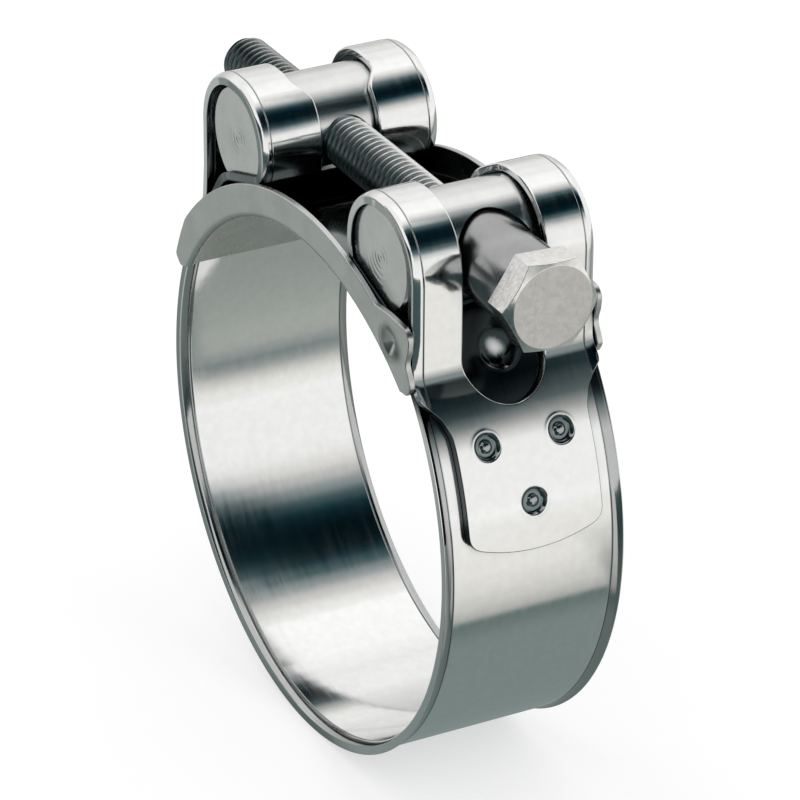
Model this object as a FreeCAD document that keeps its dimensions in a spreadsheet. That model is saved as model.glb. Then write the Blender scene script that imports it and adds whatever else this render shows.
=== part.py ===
import FreeCAD, Part
import math
import os
import Sketcher

# Heavy duty hose clamp with one bolt, all stainless steel.
# Origin: centre of the ring. +Y: axis of the ring. +Z: up, through the gap between the band ends.
# The bolt lies along X with its head at +X.

doc = FreeCAD.newDocument("BoltClamp")
sheet = doc.addObject("Spreadsheet::Sheet", "Dims")

SIZES = [
    ("band_width", 22.0, "width of the band over its raised rims"),
    ("band_thick", 1.0, "sheet thickness of the band"),
    ("bore_radius", 31.75, "inner radius of the round wall of the band"),
    ("rim_rise", 0.45, "how far a rim stands out from the wall"),
    ("rim_strip", 1.2, "width of a raised rim"),
    ("edge_drop", 0.4, "slope of the sheet edge along the loops"),
    ("edge_strip", 1.1, "width of the sloped edge along the loops"),
    ("leave_angle", 41.0, "angle at which the band leaves the round wall"),
    ("tab_top_angle", 38.0, "angle at which the outer leg lands on the wall"),
    ("tab_end", 5.8, "angle of the lowest point of the tab"),
    ("tab_width", 16.4, "width of the tab between the rims"),
    ("tab_corner", 1.8, "corner size at the end of the tab"),
    ("tab_bow", 1.7, "rise of the curved end of the tab"),
    ("shoulder_low", 30.6, "angle at which a shoulder starts"),
    ("shoulder_high", 36.8, "angle at which a shoulder reaches the full width"),
    ("bend_radius", 1.6, "radius of the bend at the foot of the outer leg"),
    ("bolt_rise", 0.45, "height of the bolt axis over the outside of the round wall"),
    ("trunnion_x", 17.0, "distance of a trunnion axis from the middle"),
    ("trunnion_radius", 6.2, "radius of both trunnions"),
    ("trunnion_length", 20.4, "length of both trunnions"),
    ("sleeve_under", 0.18, "gap between the sleeve and the band under it"),
    ("flat_angle", 72.4, "direction of the flat"),
    ("wrap_gap", 0.05, "gap between a trunnion and the loop around it"),
    ("leg_gap", 1.3, "gap between a trunnion and the outer leg"),
    ("top_run", 1.0, "straight run over the top of a loop"),
    ("strip_run", 4.6, "run of the band under the trunnion, past the foot of the flat"),
    ("slot_gap", 0.25, "gap between the sleeve and each side of the slot"),
    ("neck_gap", 0.5, "gap between the bolt and each side of the neck"),
    ("slot_low", 33.4, "angle of the lowest point of the slot"),
    ("neck_under", 0.33, "gap between the bolt and the band at the end of the neck"),
    ("clinch_radius", 1.5, "radius of a clinch point"),
    ("clinch_pin", 0.6, "radius of the button inside a clinch point"),
    ("clinch_depth", 0.45, "depth of a clinch point"),
    ("clinch_side", 4.5, "side offset of the upper clinch points"),
    ("clinch_high", 26.7, "angle of the upper clinch points"),
    ("clinch_low", 15.0, "angle of the lower clinch point"),
    ("bridge_thick", 0.7, "sheet thickness of the bridge"),
    ("bridge_gap", 0.05, "gap between the bridge and the round wall"),
    ("bridge_side_gap", 0.1, "gap between the band and a bridge flange"),
    ("bridge_sag", 3.45, "depth of the bridge below the round wall in the middle"),
    ("bridge_tail", 155.0, "angle of the free end of the bridge"),
    ("bridge_foot", 40.5, "angle of the held end of the bridge"),
    ("flange_height", 3.95, "height of a bridge flange over the underside"),
    ("lobe_height", 8.4, "height of the lobe over the held end"),
    ("lobe_end", 2.3, "how far the lobe reaches past the held end"),
    ("thread_radius", 3.0, "outer radius of the thread"),
    ("thread_fit", 0.03, "gap between the bolt and the threaded hole"),
    ("bolt_end", 36.8, "distance from the middle to the free end of the bolt"),
    ("tip_chamfer", 0.6, "chamfer at the free end of the bolt"),
    ("head_flats", 10.0, "width of the bolt head across flats"),
    ("head_height", 4.0, "height of the bolt head"),
    ("head_turn", -2.7, "turn of the bolt head at rest"),
    ("head_chamfer", 0.7, "height of the chamfer on the bolt head"),
    ("sleeve_radius", 4.75, "outer radius of the spacer sleeve"),
    ("sleeve_length", 13.2, "length of the spacer sleeve"),
    ("seat_depth", 4.7, "depth of the sleeve seat, from the outer side of the plain trunnion"),
    ("seat_fit", 0.35, "gap between the sleeve and its seat"),
    ("bolt_fit", 0.2, "gap between the bolt and the plain hole"),
]

row = 1
for alias, number, note in SIZES:
    sheet.set("A%d" % row, alias)
    sheet.set("B%d" % row, "%g" % number)
    sheet.set("C%d" % row, note)
    sheet.setAlias("B%d" % row, alias)
    row = row + 1
doc.recompute()


# A size that is known both as a number and as an expression of the sheet.
class Size:
    def __init__(self, value, text):
        self.value = float(value)
        self.text = text

    def __add__(self, other):
        other = as_size(other)
        return Size(self.value + other.value, "(%s + %s)" % (self.text, other.text))

    def __radd__(self, other):
        return as_size(other) + self

    def __sub__(self, other):
        other = as_size(other)
        return Size(self.value - other.value, "(%s - %s)" % (self.text, other.text))

    def __rsub__(self, other):
        return as_size(other) - self

    def __mul__(self, other):
        other = as_size(other)
        return Size(self.value * other.value, "(%s * %s)" % (self.text, other.text))

    def __rmul__(self, other):
        return as_size(other) * self

    def __truediv__(self, other):
        other = as_size(other)
        return Size(self.value / other.value, "(%s / %s)" % (self.text, other.text))

    def __neg__(self):
        return Size(-self.value, "(0 - %s)" % self.text)


def as_size(number):
    if isinstance(number, Size):
        return number
    return Size(number, "%.9g" % number if number >= 0 else "(0 - %.9g)" % -number)


def cos(angle):
    return Size(math.cos(math.radians(angle.value)), "cos(%s * 1deg)" % angle.text)


def sin(angle):
    return Size(math.sin(math.radians(angle.value)), "sin(%s * 1deg)" % angle.text)


def tan(angle):
    return Size(math.tan(math.radians(angle.value)), "tan(%s * 1deg)" % angle.text)


def root(number):
    return Size(math.sqrt(number.value), "sqrt(%s)" % number.text)


def dim(alias):
    return Size(float(sheet.get(alias)), "Dims." + alias)


def circle_through(first, second, third):
    # centre and radius of the circle through three points
    ax = 2 * (second[0] - first[0])
    az = 2 * (second[1] - first[1])
    bx = 2 * (third[0] - second[0])
    bz = 2 * (third[1] - second[1])
    c1 = second[0] * second[0] + second[1] * second[1] - first[0] * first[0] - first[1] * first[1]
    c2 = third[0] * third[0] + third[1] * third[1] - second[0] * second[0] - second[1] * second[1]
    det = ax * bz - az * bx
    cx = (c1 * bz - az * c2) / det
    cz = (ax * c2 - bx * c1) / det
    radius = root((first[0] - cx) * (first[0] - cx) + (first[1] - cz) * (first[1] - cz))
    return cx, cz, radius


def plane_of(body, role):
    for item in body.Origin.OriginFeatures:
        if item.Role == role:
            return item
    raise RuntimeError("no plane " + role)


def new_body(name):
    body = doc.addObject("PartDesign::Body", name)
    body.Label = name
    return body


def new_sketch(body, name, role, offset=None, turn=None):
    sketch = body.newObject("Sketcher::SketchObject", name)
    sketch.AttachmentSupport = [(plane_of(body, role), "")]
    sketch.MapMode = "FlatFace"
    if turn is not None:
        sketch.AttachmentOffset = FreeCAD.Placement(
            FreeCAD.Vector(0, 0, 0), FreeCAD.Rotation(FreeCAD.Vector(1, 0, 0), turn.value)
        )
        sketch.setExpression("AttachmentOffset.Rotation.Angle", turn.text)
    if offset is not None:
        for axis_name, size in zip(("x", "y", "z"), offset):
            if size is not None:
                sketch.setExpression("AttachmentOffset.Base." + axis_name, size.text)
    return sketch


def hold(sketch, kind, geo, pos, size):
    # ties one coordinate of a sketch point to the sheet
    if size.text == "0" or abs(size.value) < 1e-9:
        axis = -2 if kind == "DistanceX" else -1
        sketch.addConstraint(Sketcher.Constraint("PointOnObject", geo, pos, axis))
        return
    index = sketch.addConstraint(Sketcher.Constraint(kind, -1, 1, geo, pos, size.value))
    sketch.setExpression("Constraints[%d]" % index, size.text)


def outline(sketch, points, arcs=None):
    # closed outline through the points; arcs[i] = (centre x, centre y, radius, counterclockwise)
    arcs = arcs or {}
    first = sketch.GeometryCount
    count = len(points)
    starts = {}
    ends = {}
    for i in range(count):
        a = FreeCAD.Vector(points[i][0].value, points[i][1].value, 0)
        b = FreeCAD.Vector(points[(i + 1) % count][0].value, points[(i + 1) % count][1].value, 0)
        if i not in arcs:
            sketch.addGeometry(Part.LineSegment(a, b), False)
            starts[i] = 1
            ends[i] = 2
            continue
        cx, cz, radius, left = arcs[i]
        centre = FreeCAD.Vector(cx.value, cz.value, 0)
        at_a = math.atan2(a.y - centre.y, a.x - centre.x)
        at_b = math.atan2(b.y - centre.y, b.x - centre.x)
        circle = Part.Circle(centre, FreeCAD.Vector(0, 0, 1), radius.value)
        if left:
            while at_b < at_a:
                at_b = at_b + 2 * math.pi
            sketch.addGeometry(Part.ArcOfCircle(circle, at_a, at_b), False)
            starts[i] = 1
            ends[i] = 2
        else:
            while at_a < at_b:
                at_a = at_a + 2 * math.pi
            sketch.addGeometry(Part.ArcOfCircle(circle, at_b, at_a), False)
            starts[i] = 2
            ends[i] = 1
    for i in range(count):
        after = (i + 1) % count
        link = Sketcher.Constraint("Coincident", first + i, ends[i], first + after, starts[after])
        sketch.addConstraint(link)
    for i in range(count):
        hold(sketch, "DistanceX", first + i, starts[i], points[i][0])
        hold(sketch, "DistanceY", first + i, starts[i], points[i][1])
    for i in arcs:
        index = sketch.addConstraint(Sketcher.Constraint("Radius", first + i, arcs[i][2].value))
        sketch.setExpression("Constraints[%d]" % index, arcs[i][2].text)


def round_outline(sketch, cx, cz, radius):
    centre = FreeCAD.Vector(cx.value, cz.value, 0)
    geo = sketch.addGeometry(Part.Circle(centre, FreeCAD.Vector(0, 0, 1), radius.value), False)
    hold(sketch, "DistanceX", geo, 3, cx)
    hold(sketch, "DistanceY", geo, 3, cz)
    index = sketch.addConstraint(Sketcher.Constraint("Radius", geo, radius.value))
    sketch.setExpression("Constraints[%d]" % index, radius.text)


def pad(body, name, sketch, length, midplane=False, reverse=False):
    feature = body.newObject("PartDesign::Pad", name)
    feature.Profile = sketch
    if midplane:
        feature.SideType = "Symmetric"
    feature.Reversed = reverse
    feature.setExpression("Length", length.text)
    body.Tip = feature
    doc.recompute()
    return feature


def pocket(body, name, sketch, length, midplane=False, reverse=False):
    before = body.Shape.Volume
    feature = body.newObject("PartDesign::Pocket", name)
    feature.Profile = sketch
    if midplane:
        feature.SideType = "Symmetric"
    feature.Reversed = reverse
    feature.setExpression("Length", length.text)
    body.Tip = feature
    doc.recompute()
    if not body.Shape.Volume < before - 1e-6:
        raise RuntimeError("pocket " + name + " cuts nothing")
    return feature


def mirrored(body, name, originals, role):
    feature = body.newObject("PartDesign::Mirrored", name)
    feature.Originals = originals
    feature.MirrorPlane = (plane_of(body, role), [""])
    body.Tip = feature
    doc.recompute()
    return feature


width = dim("band_width")
thick = dim("band_thick")
bore = dim("bore_radius")
wall = bore + thick
axis_z = wall + dim("bolt_rise")
axis_x = dim("trunnion_x")
zero = as_size(0)

# Loop geometry of the +X end, drawn in the XZ plane.
inner = dim("trunnion_radius") + dim("wrap_gap")
outer = inner + thick
tilt = dim("flat_angle")
seat_x = axis_x + dim("trunnion_radius") - dim("seat_depth")
under_sleeve = dim("sleeve_radius") + dim("sleeve_under")
flat = under_sleeve * sin(tilt) - (seat_x - axis_x) * cos(tilt)
normal_x = -cos(tilt)
normal_z = -sin(tilt)
along_x = -sin(tilt)
along_z = cos(tilt)


def on_flat(depth, run):
    # point at a depth below the trunnion axis and a run along the flat, towards the gap
    return (
        axis_x + depth * normal_x + run * along_x,
        axis_z + depth * normal_z + run * along_z,
    )


corner_in = on_flat(flat, root(inner * inner - flat * flat))
corner_out = on_flat(flat + thick, root(outer * outer - (flat + thick) * (flat + thick)))
strip_in = on_flat(flat, -dim("strip_run"))
leave = dim("leave_angle")
leave_in = (bore * cos(leave), bore * sin(leave))
leave_out = (wall * cos(leave), wall * sin(leave))

# The lower face of the rising strip is parallel to its upper face, so its bend is found by crossing.
rise_x = strip_in[0] - leave_out[0]
rise_z = strip_in[1] - leave_out[1]
base = on_flat(flat + thick, zero)
cross = rise_x * along_z - rise_z * along_x
share = ((base[0] - leave_in[0]) * along_z - (base[1] - leave_in[1]) * along_x) / cross
strip_out = (leave_in[0] + share * rise_x, leave_in[1] + share * rise_z)

leg_in = axis_x + dim("trunnion_radius") + dim("leg_gap")
leg_out = leg_in + thick
crown = axis_x + dim("top_run")
turn_in = leg_in - crown
turn_out = turn_in + thick
turn_z = axis_z + inner - turn_in
land = dim("tab_top_angle")
foot_in = (wall - leg_in * cos(land)) / sin(land)
tab_out = wall + thick
foot_out = (tab_out - leg_out * cos(land)) / sin(land)
small = dim("bend_radius")
large = small + thick
half_turn = tan(land / 2)

end = new_body("band_end")

strip_sketch = new_sketch(end, "StripSketch", "XZ_Plane")
outline(strip_sketch, [leave_out, strip_in, corner_in, corner_out, strip_out, leave_in])
strip = pad(end, "Strip", strip_sketch, width, midplane=True)

# End of the tab, on both faces, at the height where the end curve starts.
tab_z = (wall + thick) * sin(dim("tab_end"))
tab_low = tab_z - 2.0
low_in = (root(wall * wall - tab_low * tab_low), tab_low)
low_out = (root(tab_out * tab_out - tab_low * tab_low), tab_low)

wrap_points = [
    corner_in,
    (axis_x, axis_z + inner),
    (crown, axis_z + inner),
    (leg_in, turn_z),
    (leg_in, foot_in + large * half_turn),
    (leg_in + large * half_turn * sin(land), foot_in - large * half_turn * cos(land)),
    (wall * cos(land), wall * sin(land)),
    low_in,
    low_out,
    (tab_out * cos(land), tab_out * sin(land)),
    (leg_out + small * half_turn * sin(land), foot_out - small * half_turn * cos(land)),
    (leg_out, foot_out + small * half_turn),
    (leg_out, turn_z),
    (crown, axis_z + outer),
    (axis_x, axis_z + outer),
    corner_out,
]
bend_x = leg_in + large
bend_z = foot_in + large * half_turn
wrap_arcs = {
    0: (axis_x, axis_z, inner, False),
    2: (crown, turn_z, turn_in, False),
    4: (bend_x, bend_z, large, True),
    6: (zero, zero, wall, False),
    8: (zero, zero, tab_out, True),
    10: (bend_x, bend_z, small, False),
    12: (crown, turn_z, turn_out, True),
    14: (axis_x, axis_z, outer, True),
}
wrap_sketch = new_sketch(end, "WrapSketch", "XZ_Plane")
outline(wrap_sketch, wrap_points, wrap_arcs)
wrap = pad(end, "Wrap", wrap_sketch, width, midplane=True)

# Tab: narrower than the band, with shoulders above and a curved end below.
half_tab = dim("tab_width") / 2
reach = width / 2
corner = dim("tab_corner")
bow = dim("tab_bow")
end_z = tab_z
shoulder_z = tab_out * sin(dim("shoulder_low"))
full_z = tab_out * sin(dim("shoulder_high"))
chord = half_tab - corner
bow_radius = (chord * chord + bow * bow) / (2 * bow)
margin = reach + 1.0
tab_points = [
    (margin, full_z + 0.3),
    (reach, full_z),
    (half_tab, shoulder_z),
    (half_tab, end_z + bow + corner),
    (chord, end_z + bow),
    (-chord, end_z + bow),
    (-half_tab, end_z + bow + corner),
    (-half_tab, shoulder_z),
    (-reach, full_z),
    (-margin, full_z + 0.3),
    (-margin, end_z - 4.0),
    (margin, end_z - 4.0),
]
tab_arcs = {
    3: (chord, end_z + bow + corner, corner, False),
    4: (zero, end_z + bow_radius, bow_radius, False),
    5: (-chord, end_z + bow + corner, corner, False),
}
tab_sketch = new_sketch(end, "TabSketch", "YZ_Plane")
outline(tab_sketch, tab_points, tab_arcs)
tab_cut = pocket(end, "TabShape", tab_sketch, tab_out + 5.0, reverse=True)

slot_half = dim("sleeve_radius") + dim("slot_gap")
slot_z = tab_out * sin(dim("slot_low"))
slot_turn = slot_z + slot_half
neck_half = dim("thread_radius") + dim("neck_gap")
slot_sketch = new_sketch(end, "LegSlotSketch", "YZ_Plane", (None, None, leg_in - 0.6))
slot_points = [
    (slot_half, axis_z + 0.5),
    (-slot_half, axis_z + 0.5),
    (-slot_half, slot_turn),
    (zero, slot_z),
    (slot_half, slot_turn),
]
slot_arcs = {
    2: (zero, slot_turn, slot_half, True),
    3: (zero, slot_turn, slot_half, True),
}
outline(slot_sketch, slot_points, slot_arcs)
leg_slot = pocket(end, "LegSlot", slot_sketch, tab_out, reverse=True)

top_sketch = new_sketch(end, "TopSlotSketch", "XY_Plane", (None, None, axis_z))
neck_x = axis_x - outer * 0.63
wide_x = axis_x - outer * 0.33
top_points = [
    (axis_x - outer - 1.0, neck_half),
    (axis_x - outer - 1.0, -neck_half),
    (neck_x, -neck_half),
    (wide_x, -slot_half),
    (leg_out + 1.0, -slot_half),
    (leg_out + 1.0, slot_half),
    (wide_x, slot_half),
    (neck_x, neck_half),
]
outline(top_sketch, top_points)
top_slot = pocket(end, "TopSlot", top_sketch, outer + 2.0, reverse=True)

neck_z = axis_z - dim("thread_radius") - dim("neck_under")
neck_run = (flat * sin(tilt) - (axis_z - neck_z)) / cos(tilt)
neck_low_in = on_flat(flat, neck_run)
neck_low_out = on_flat(flat + thick + 1.0, neck_run)
neck_points = [
    (axis_x, neck_z),
    neck_low_in,
    neck_low_out,
    (axis_x - outer - 2.0, neck_low_out[1]),
    (axis_x - outer - 2.0, axis_z + 0.2),
    (axis_x, axis_z + 0.2),
]
neck_sketch = new_sketch(end, "NeckSketch", "XZ_Plane")
outline(neck_sketch, neck_points)
neck = pocket(end, "Neck", neck_sketch, neck_half * 2, midplane=True)

# Clinch points: a round groove with a button left standing in the middle.
for name, side, angle in (
    ("ClinchA", dim("clinch_side"), dim("clinch_high")),
    ("ClinchB", -dim("clinch_side"), dim("clinch_high")),
    ("ClinchC", zero, dim("clinch_low")),
):
    deep = tab_out - dim("clinch_depth")
    place = (None, deep * sin(angle), deep * cos(angle))
    sketch = new_sketch(end, name + "Sketch", "YZ_Plane", place, -angle)
    round_outline(sketch, side, zero, dim("clinch_radius"))
    round_outline(sketch, side, zero, dim("clinch_pin"))
    pocket(end, name, sketch, as_size(2.0), reverse=True)

# Sloped edges of the loop: a long chamfer on the outer side of the sheet.
edge_names = []
for number, edge in enumerate(end.Shape.Edges):
    box = edge.BoundBox
    if box.YLength > 1e-6 or abs(abs(box.YMax) - reach.value) > 1e-6:
        continue
    middle = edge.valueAt(0.5 * (edge.FirstParameter + edge.LastParameter))
    from_axis = math.hypot(middle.x - axis_x.value, middle.z - axis_z.value)
    from_turn = math.hypot(middle.x - crown.value, middle.z - turn_z.value)
    on_wrap = abs(from_axis - outer.value) < 1e-3 and middle.x < axis_x.value
    on_turn = abs(from_turn - turn_out.value) < 1e-3 and middle.x > crown.value
    on_top = abs(middle.z - axis_z.value - outer.value) < 1e-3
    on_leg = abs(middle.x - leg_out.value) < 1e-3 and middle.z > foot_out.value
    if on_wrap or on_turn or on_top or on_leg:
        edge_names.append("Edge%d" % (number + 1))
sharp = end.Shape.Volume
clinched = end.Tip
slope_cut = end.newObject("PartDesign::Chamfer", "LoopEdges")
slope_cut.Base = (clinched, edge_names)
slope_cut.ChamferType = "Two distances"
slope_cut.setExpression("Size", "Dims.edge_drop")
slope_cut.setExpression("Size2", "Dims.edge_strip")
end.Tip = slope_cut
doc.recompute()
if not end.Shape.Volume < sharp - 1e-6:
    raise RuntimeError("the sloped edges cut nothing")

# Round wall with a rim that stands out along both edges.
rise = dim("rim_rise")
bend_y = reach - dim("rim_strip")
ring_points = [
    (-reach, -(wall + rise)),
    (-bend_y, -wall),
    (bend_y, -wall),
    (reach, -(wall + rise)),
    (reach, -(bore + rise)),
    (bend_y, -bore),
    (-bend_y, -bore),
    (-reach, -(bore + rise)),
]
wall_body = new_body("band_wall")
ring_sketch = new_sketch(wall_body, "RingSketch", "YZ_Plane")
outline(ring_sketch, ring_points)
ring = wall_body.newObject("PartDesign::Revolution", "Ring")
ring.Profile = ring_sketch
ring.ReferenceAxis = (ring_sketch, ["H_Axis"])
ring.Midplane = True
ring.setExpression("Angle", "(180 + 2 * Dims.leave_angle) * 1deg")
wall_body.Tip = ring
doc.recompute()

# The band is one sheet: the round wall and a loop at each end of it.
other_end = doc.addObject("Part::Mirroring", "band_other_end")
other_end.Source = end
other_end.Normal = FreeCAD.Vector(1, 0, 0)
band = doc.addObject("Part::MultiFuse", "band")
band.Label = "band"
band.Shapes = [wall_body, end, other_end]
band.Refine = True
doc.recompute()

# Bridge: a thin curved tongue inside the band, under the gap, with a flange along each side.
bridge = new_body("bridge")
sheet_b = dim("bridge_thick")
end_r = bore - dim("bridge_gap") - sheet_b
tail = dim("bridge_tail")
held = dim("bridge_foot")
tail_in = (end_r * cos(tail), end_r * sin(tail))
held_in = (end_r * cos(held), end_r * sin(held))
top_in = (zero, bore - dim("bridge_sag"))
arc_x, arc_z, arc_r = circle_through(tail_in, top_in, held_in)


def outwards(point, distance):
    # point moved away from the centre of the bridge's curve
    return (
        point[0] + distance * (point[0] - arc_x) / arc_r,
        point[1] + distance * (point[1] - arc_z) / arc_r,
    )


inside_gap = dim("bridge_side_gap")
half_inside = reach + inside_gap
half_bridge = half_inside + sheet_b
web_sketch = new_sketch(bridge, "WebSketch", "XZ_Plane")
web_points = [tail_in, held_in, outwards(held_in, sheet_b), outwards(tail_in, sheet_b)]
web_arcs = {
    0: (arc_x, arc_z, arc_r, False),
    2: (arc_x, arc_z, arc_r + sheet_b, True),
}
outline(web_sketch, web_points, web_arcs)
web = pad(bridge, "Web", web_sketch, half_bridge * 2, midplane=True)

high = dim("flange_height")
rim_r = arc_r + high
lobe_z = held_in[1] + dim("lobe_height")
lobe_x = held_in[0] + dim("lobe_end")
lobe_start = lobe_x - 8.0
lobe_meet = arc_z + root(rim_r * rim_r - (lobe_start - arc_x) * (lobe_start - arc_x))
shear_x = arc_x - rim_r * 0.753
shear_z = arc_z + root(rim_r * rim_r - (shear_x - arc_x) * (shear_x - arc_x))
flange_points = [
    tail_in,
    held_in,
    (held_in[0] + 2.3, held_in[1] + 0.5),
    (held_in[0] + 2.9, held_in[1] + 2.2),
    (held_in[0] + 1.5, held_in[1] + 4.2),
    (lobe_x - 0.2, lobe_z - 2.6),
    (lobe_x, lobe_z - 0.9),
    (lobe_x - 0.9, lobe_z - 0.1),
    (lobe_start + 3.4, lobe_z + 0.1),
    (lobe_start, lobe_meet),
    (shear_x, shear_z),
    (tail_in[0] - 3.1, tail_in[1] + 0.2),
    (tail_in[0] - 1.8, tail_in[1] - 0.8),
]
flange_arcs = {
    0: (arc_x, arc_z, arc_r, False),
    9: (arc_x, arc_z, rim_r, True),
}
flange_sketch = new_sketch(bridge, "FlangeSketch", "XZ_Plane", (None, None, half_inside))
outline(flange_sketch, flange_points, flange_arcs)
flange = pad(bridge, "Flange", flange_sketch, sheet_b)
bridge_sides = mirrored(bridge, "BothFlanges", [flange], "XZ_Plane")


# Trunnions: round bars with a flat that rests on the band under them.
def trunnion(name, side):
    body = new_body(name)
    radius = dim("trunnion_radius")
    depth = flat - dim("wrap_gap")
    run = root(radius * radius - depth * depth)
    left = on_flat(depth, run)
    right = on_flat(depth, -run)
    sketch = new_sketch(body, name + "_section", "XZ_Plane")
    left = (left[0] * side, left[1])
    right = (right[0] * side, right[1])
    bow_arc = {0: (axis_x * side, axis_z, radius, side < 0)}
    outline(sketch, [left, right], bow_arc)
    pad(body, name + "_bar", sketch, dim("trunnion_length"), midplane=True)
    return body


plain = trunnion("plain_trunnion", 1)
hole_sketch = new_sketch(plain, "PlainHoleSketch", "YZ_Plane", (None, None, axis_x))
round_outline(hole_sketch, zero, axis_z, dim("thread_radius") + dim("bolt_fit"))
pocket(plain, "PlainHole", hole_sketch, dim("trunnion_radius") * 3, midplane=True)
seat_sketch = new_sketch(plain, "SeatSketch", "YZ_Plane", (None, None, seat_x))
round_outline(seat_sketch, zero, axis_z, dim("sleeve_radius") + dim("seat_fit"))
pocket(plain, "Seat", seat_sketch, dim("seat_depth") + 1.0, reverse=True)

threaded = trunnion("threaded_trunnion", -1)
tap_sketch = new_sketch(threaded, "TapSketch", "YZ_Plane", (None, None, -axis_x))
round_outline(tap_sketch, zero, axis_z, dim("thread_radius") + dim("thread_fit"))
pocket(threaded, "TappedHole", tap_sketch, dim("trunnion_radius") * 3, midplane=True)

# Spacer sleeve between the seat in the plain trunnion and the bolt head.
sleeve = new_body("spacer_sleeve")
sleeve_sketch = new_sketch(sleeve, "SleeveSketch", "YZ_Plane", (None, None, seat_x))
round_outline(sleeve_sketch, zero, axis_z, dim("sleeve_radius"))
round_outline(sleeve_sketch, zero, axis_z, dim("thread_radius") + dim("bolt_fit"))
pad(sleeve, "Tube", sleeve_sketch, dim("sleeve_length"))

# Bolt: hexagon head with a round chamfer, shank with a chamfered end.
bolt = new_body("bolt")
head_x = seat_x + dim("sleeve_length")
across = dim("head_flats") / 2
point_r = across / cos(as_size(30))
head_points = []
for k in range(6):
    angle = dim("head_turn") + 60 * k
    head_points.append((point_r * cos(angle), axis_z + point_r * sin(angle)))
head_sketch = new_sketch(bolt, "HeadSketch", "YZ_Plane", (None, None, head_x))
outline(head_sketch, head_points)
head = pad(bolt, "Head", head_sketch, dim("head_height"))

thread = dim("thread_radius")
tip = -dim("bolt_end")
cut = dim("tip_chamfer")
shank_points = [
    (tip, axis_z),
    (tip, axis_z + thread - cut),
    (tip + cut, axis_z + thread),
    (head_x + 0.5, axis_z + thread),
    (head_x + 0.5, axis_z),
]
shank_sketch = new_sketch(bolt, "ShankSketch", "XZ_Plane")
outline(shank_sketch, shank_points)
axis_line = shank_sketch.addGeometry(
    Part.LineSegment(
        FreeCAD.Vector(tip.value, axis_z.value, 0), FreeCAD.Vector(head_x.value, axis_z.value, 0)
    ),
    True,
)
shank_sketch.addConstraint(Sketcher.Constraint("Horizontal", axis_line))
hold(shank_sketch, "DistanceX", axis_line, 1, tip)
hold(shank_sketch, "DistanceY", axis_line, 1, axis_z)
hold(shank_sketch, "DistanceX", axis_line, 2, head_x)
shank = bolt.newObject("PartDesign::Revolution", "Shank")
shank.Profile = shank_sketch
shank.ReferenceAxis = (shank_sketch, ["Axis0"])
shank.Angle = 360
bolt.Tip = shank
doc.recompute()

top_x = head_x + dim("head_height")
slope = dim("head_chamfer")
chamfer_points = [
    (top_x - slope, axis_z + point_r + 0.3),
    (top_x + 0.2, axis_z + point_r + 0.3),
    (top_x + 0.2, axis_z + point_r - slope * 1.75),
]
chamfer_sketch = new_sketch(bolt, "HeadChamferSketch", "XZ_Plane")
outline(chamfer_sketch, chamfer_points)
turn_line = chamfer_sketch.addGeometry(
    Part.LineSegment(
        FreeCAD.Vector(head_x.value, axis_z.value, 0), FreeCAD.Vector(top_x.value, axis_z.value, 0)
    ),
    True,
)
chamfer_sketch.addConstraint(Sketcher.Constraint("Horizontal", turn_line))
hold(chamfer_sketch, "DistanceX", turn_line, 1, head_x)
hold(chamfer_sketch, "DistanceY", turn_line, 1, axis_z)
hold(chamfer_sketch, "DistanceX", turn_line, 2, top_x)
uncut = bolt.Shape.Volume
crown_cut = bolt.newObject("PartDesign::Groove", "HeadChamfer")
crown_cut.Profile = chamfer_sketch
crown_cut.ReferenceAxis = (chamfer_sketch, ["Axis0"])
crown_cut.Angle = 360
bolt.Tip = crown_cut
doc.recompute()
if not bolt.Shape.Volume < uncut - 1e-6:
    raise RuntimeError("the head chamfer cuts nothing")

doc.recompute()
for item in doc.Objects:
    if "Invalid" in item.State or "Error" in item.State:
        raise RuntimeError("object " + item.Name + " is in state " + str(item.State))

bodies = [band, bridge, plain, threaded, sleeve, bolt]
for body in bodies:
    shape = body.Shape
    if shape.isNull() or not shape.isValid():
        raise RuntimeError(body.Label + " has no valid shape")
    if len(shape.Solids) != 1:
        raise RuntimeError(body.Label + " has %d solids" % len(shape.Solids))

os.makedirs("parts", exist_ok=True)
for body in bodies:
    body.Shape.exportStep("parts/%s.step" % body.Label)
    print(body.Label, round(body.Shape.Volume, 1), body.Shape.BoundBox)
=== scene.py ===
import math
from collections import Counter

import bmesh
import bpy
import numpy as np
from mathutils import Matrix, Vector
from mathutils.geometry import delaunay_2d_cdt
from mathutils.kdtree import KDTree


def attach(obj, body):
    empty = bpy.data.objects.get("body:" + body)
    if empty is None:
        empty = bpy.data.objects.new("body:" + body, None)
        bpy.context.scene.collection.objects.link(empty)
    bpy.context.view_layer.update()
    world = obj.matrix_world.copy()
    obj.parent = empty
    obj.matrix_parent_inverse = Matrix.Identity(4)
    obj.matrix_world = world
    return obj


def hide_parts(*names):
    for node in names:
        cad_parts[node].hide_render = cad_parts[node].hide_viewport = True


# Looks of the bolt hose clamp: each CAD piece is drawn by a finer mesh with its own metal.
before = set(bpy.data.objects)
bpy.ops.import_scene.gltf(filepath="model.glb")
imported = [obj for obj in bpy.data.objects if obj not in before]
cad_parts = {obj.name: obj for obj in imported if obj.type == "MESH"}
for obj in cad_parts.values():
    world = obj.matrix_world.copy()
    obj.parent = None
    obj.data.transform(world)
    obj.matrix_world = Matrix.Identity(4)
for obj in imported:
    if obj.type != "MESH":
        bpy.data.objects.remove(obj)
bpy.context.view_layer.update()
MM = 0.001

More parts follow.
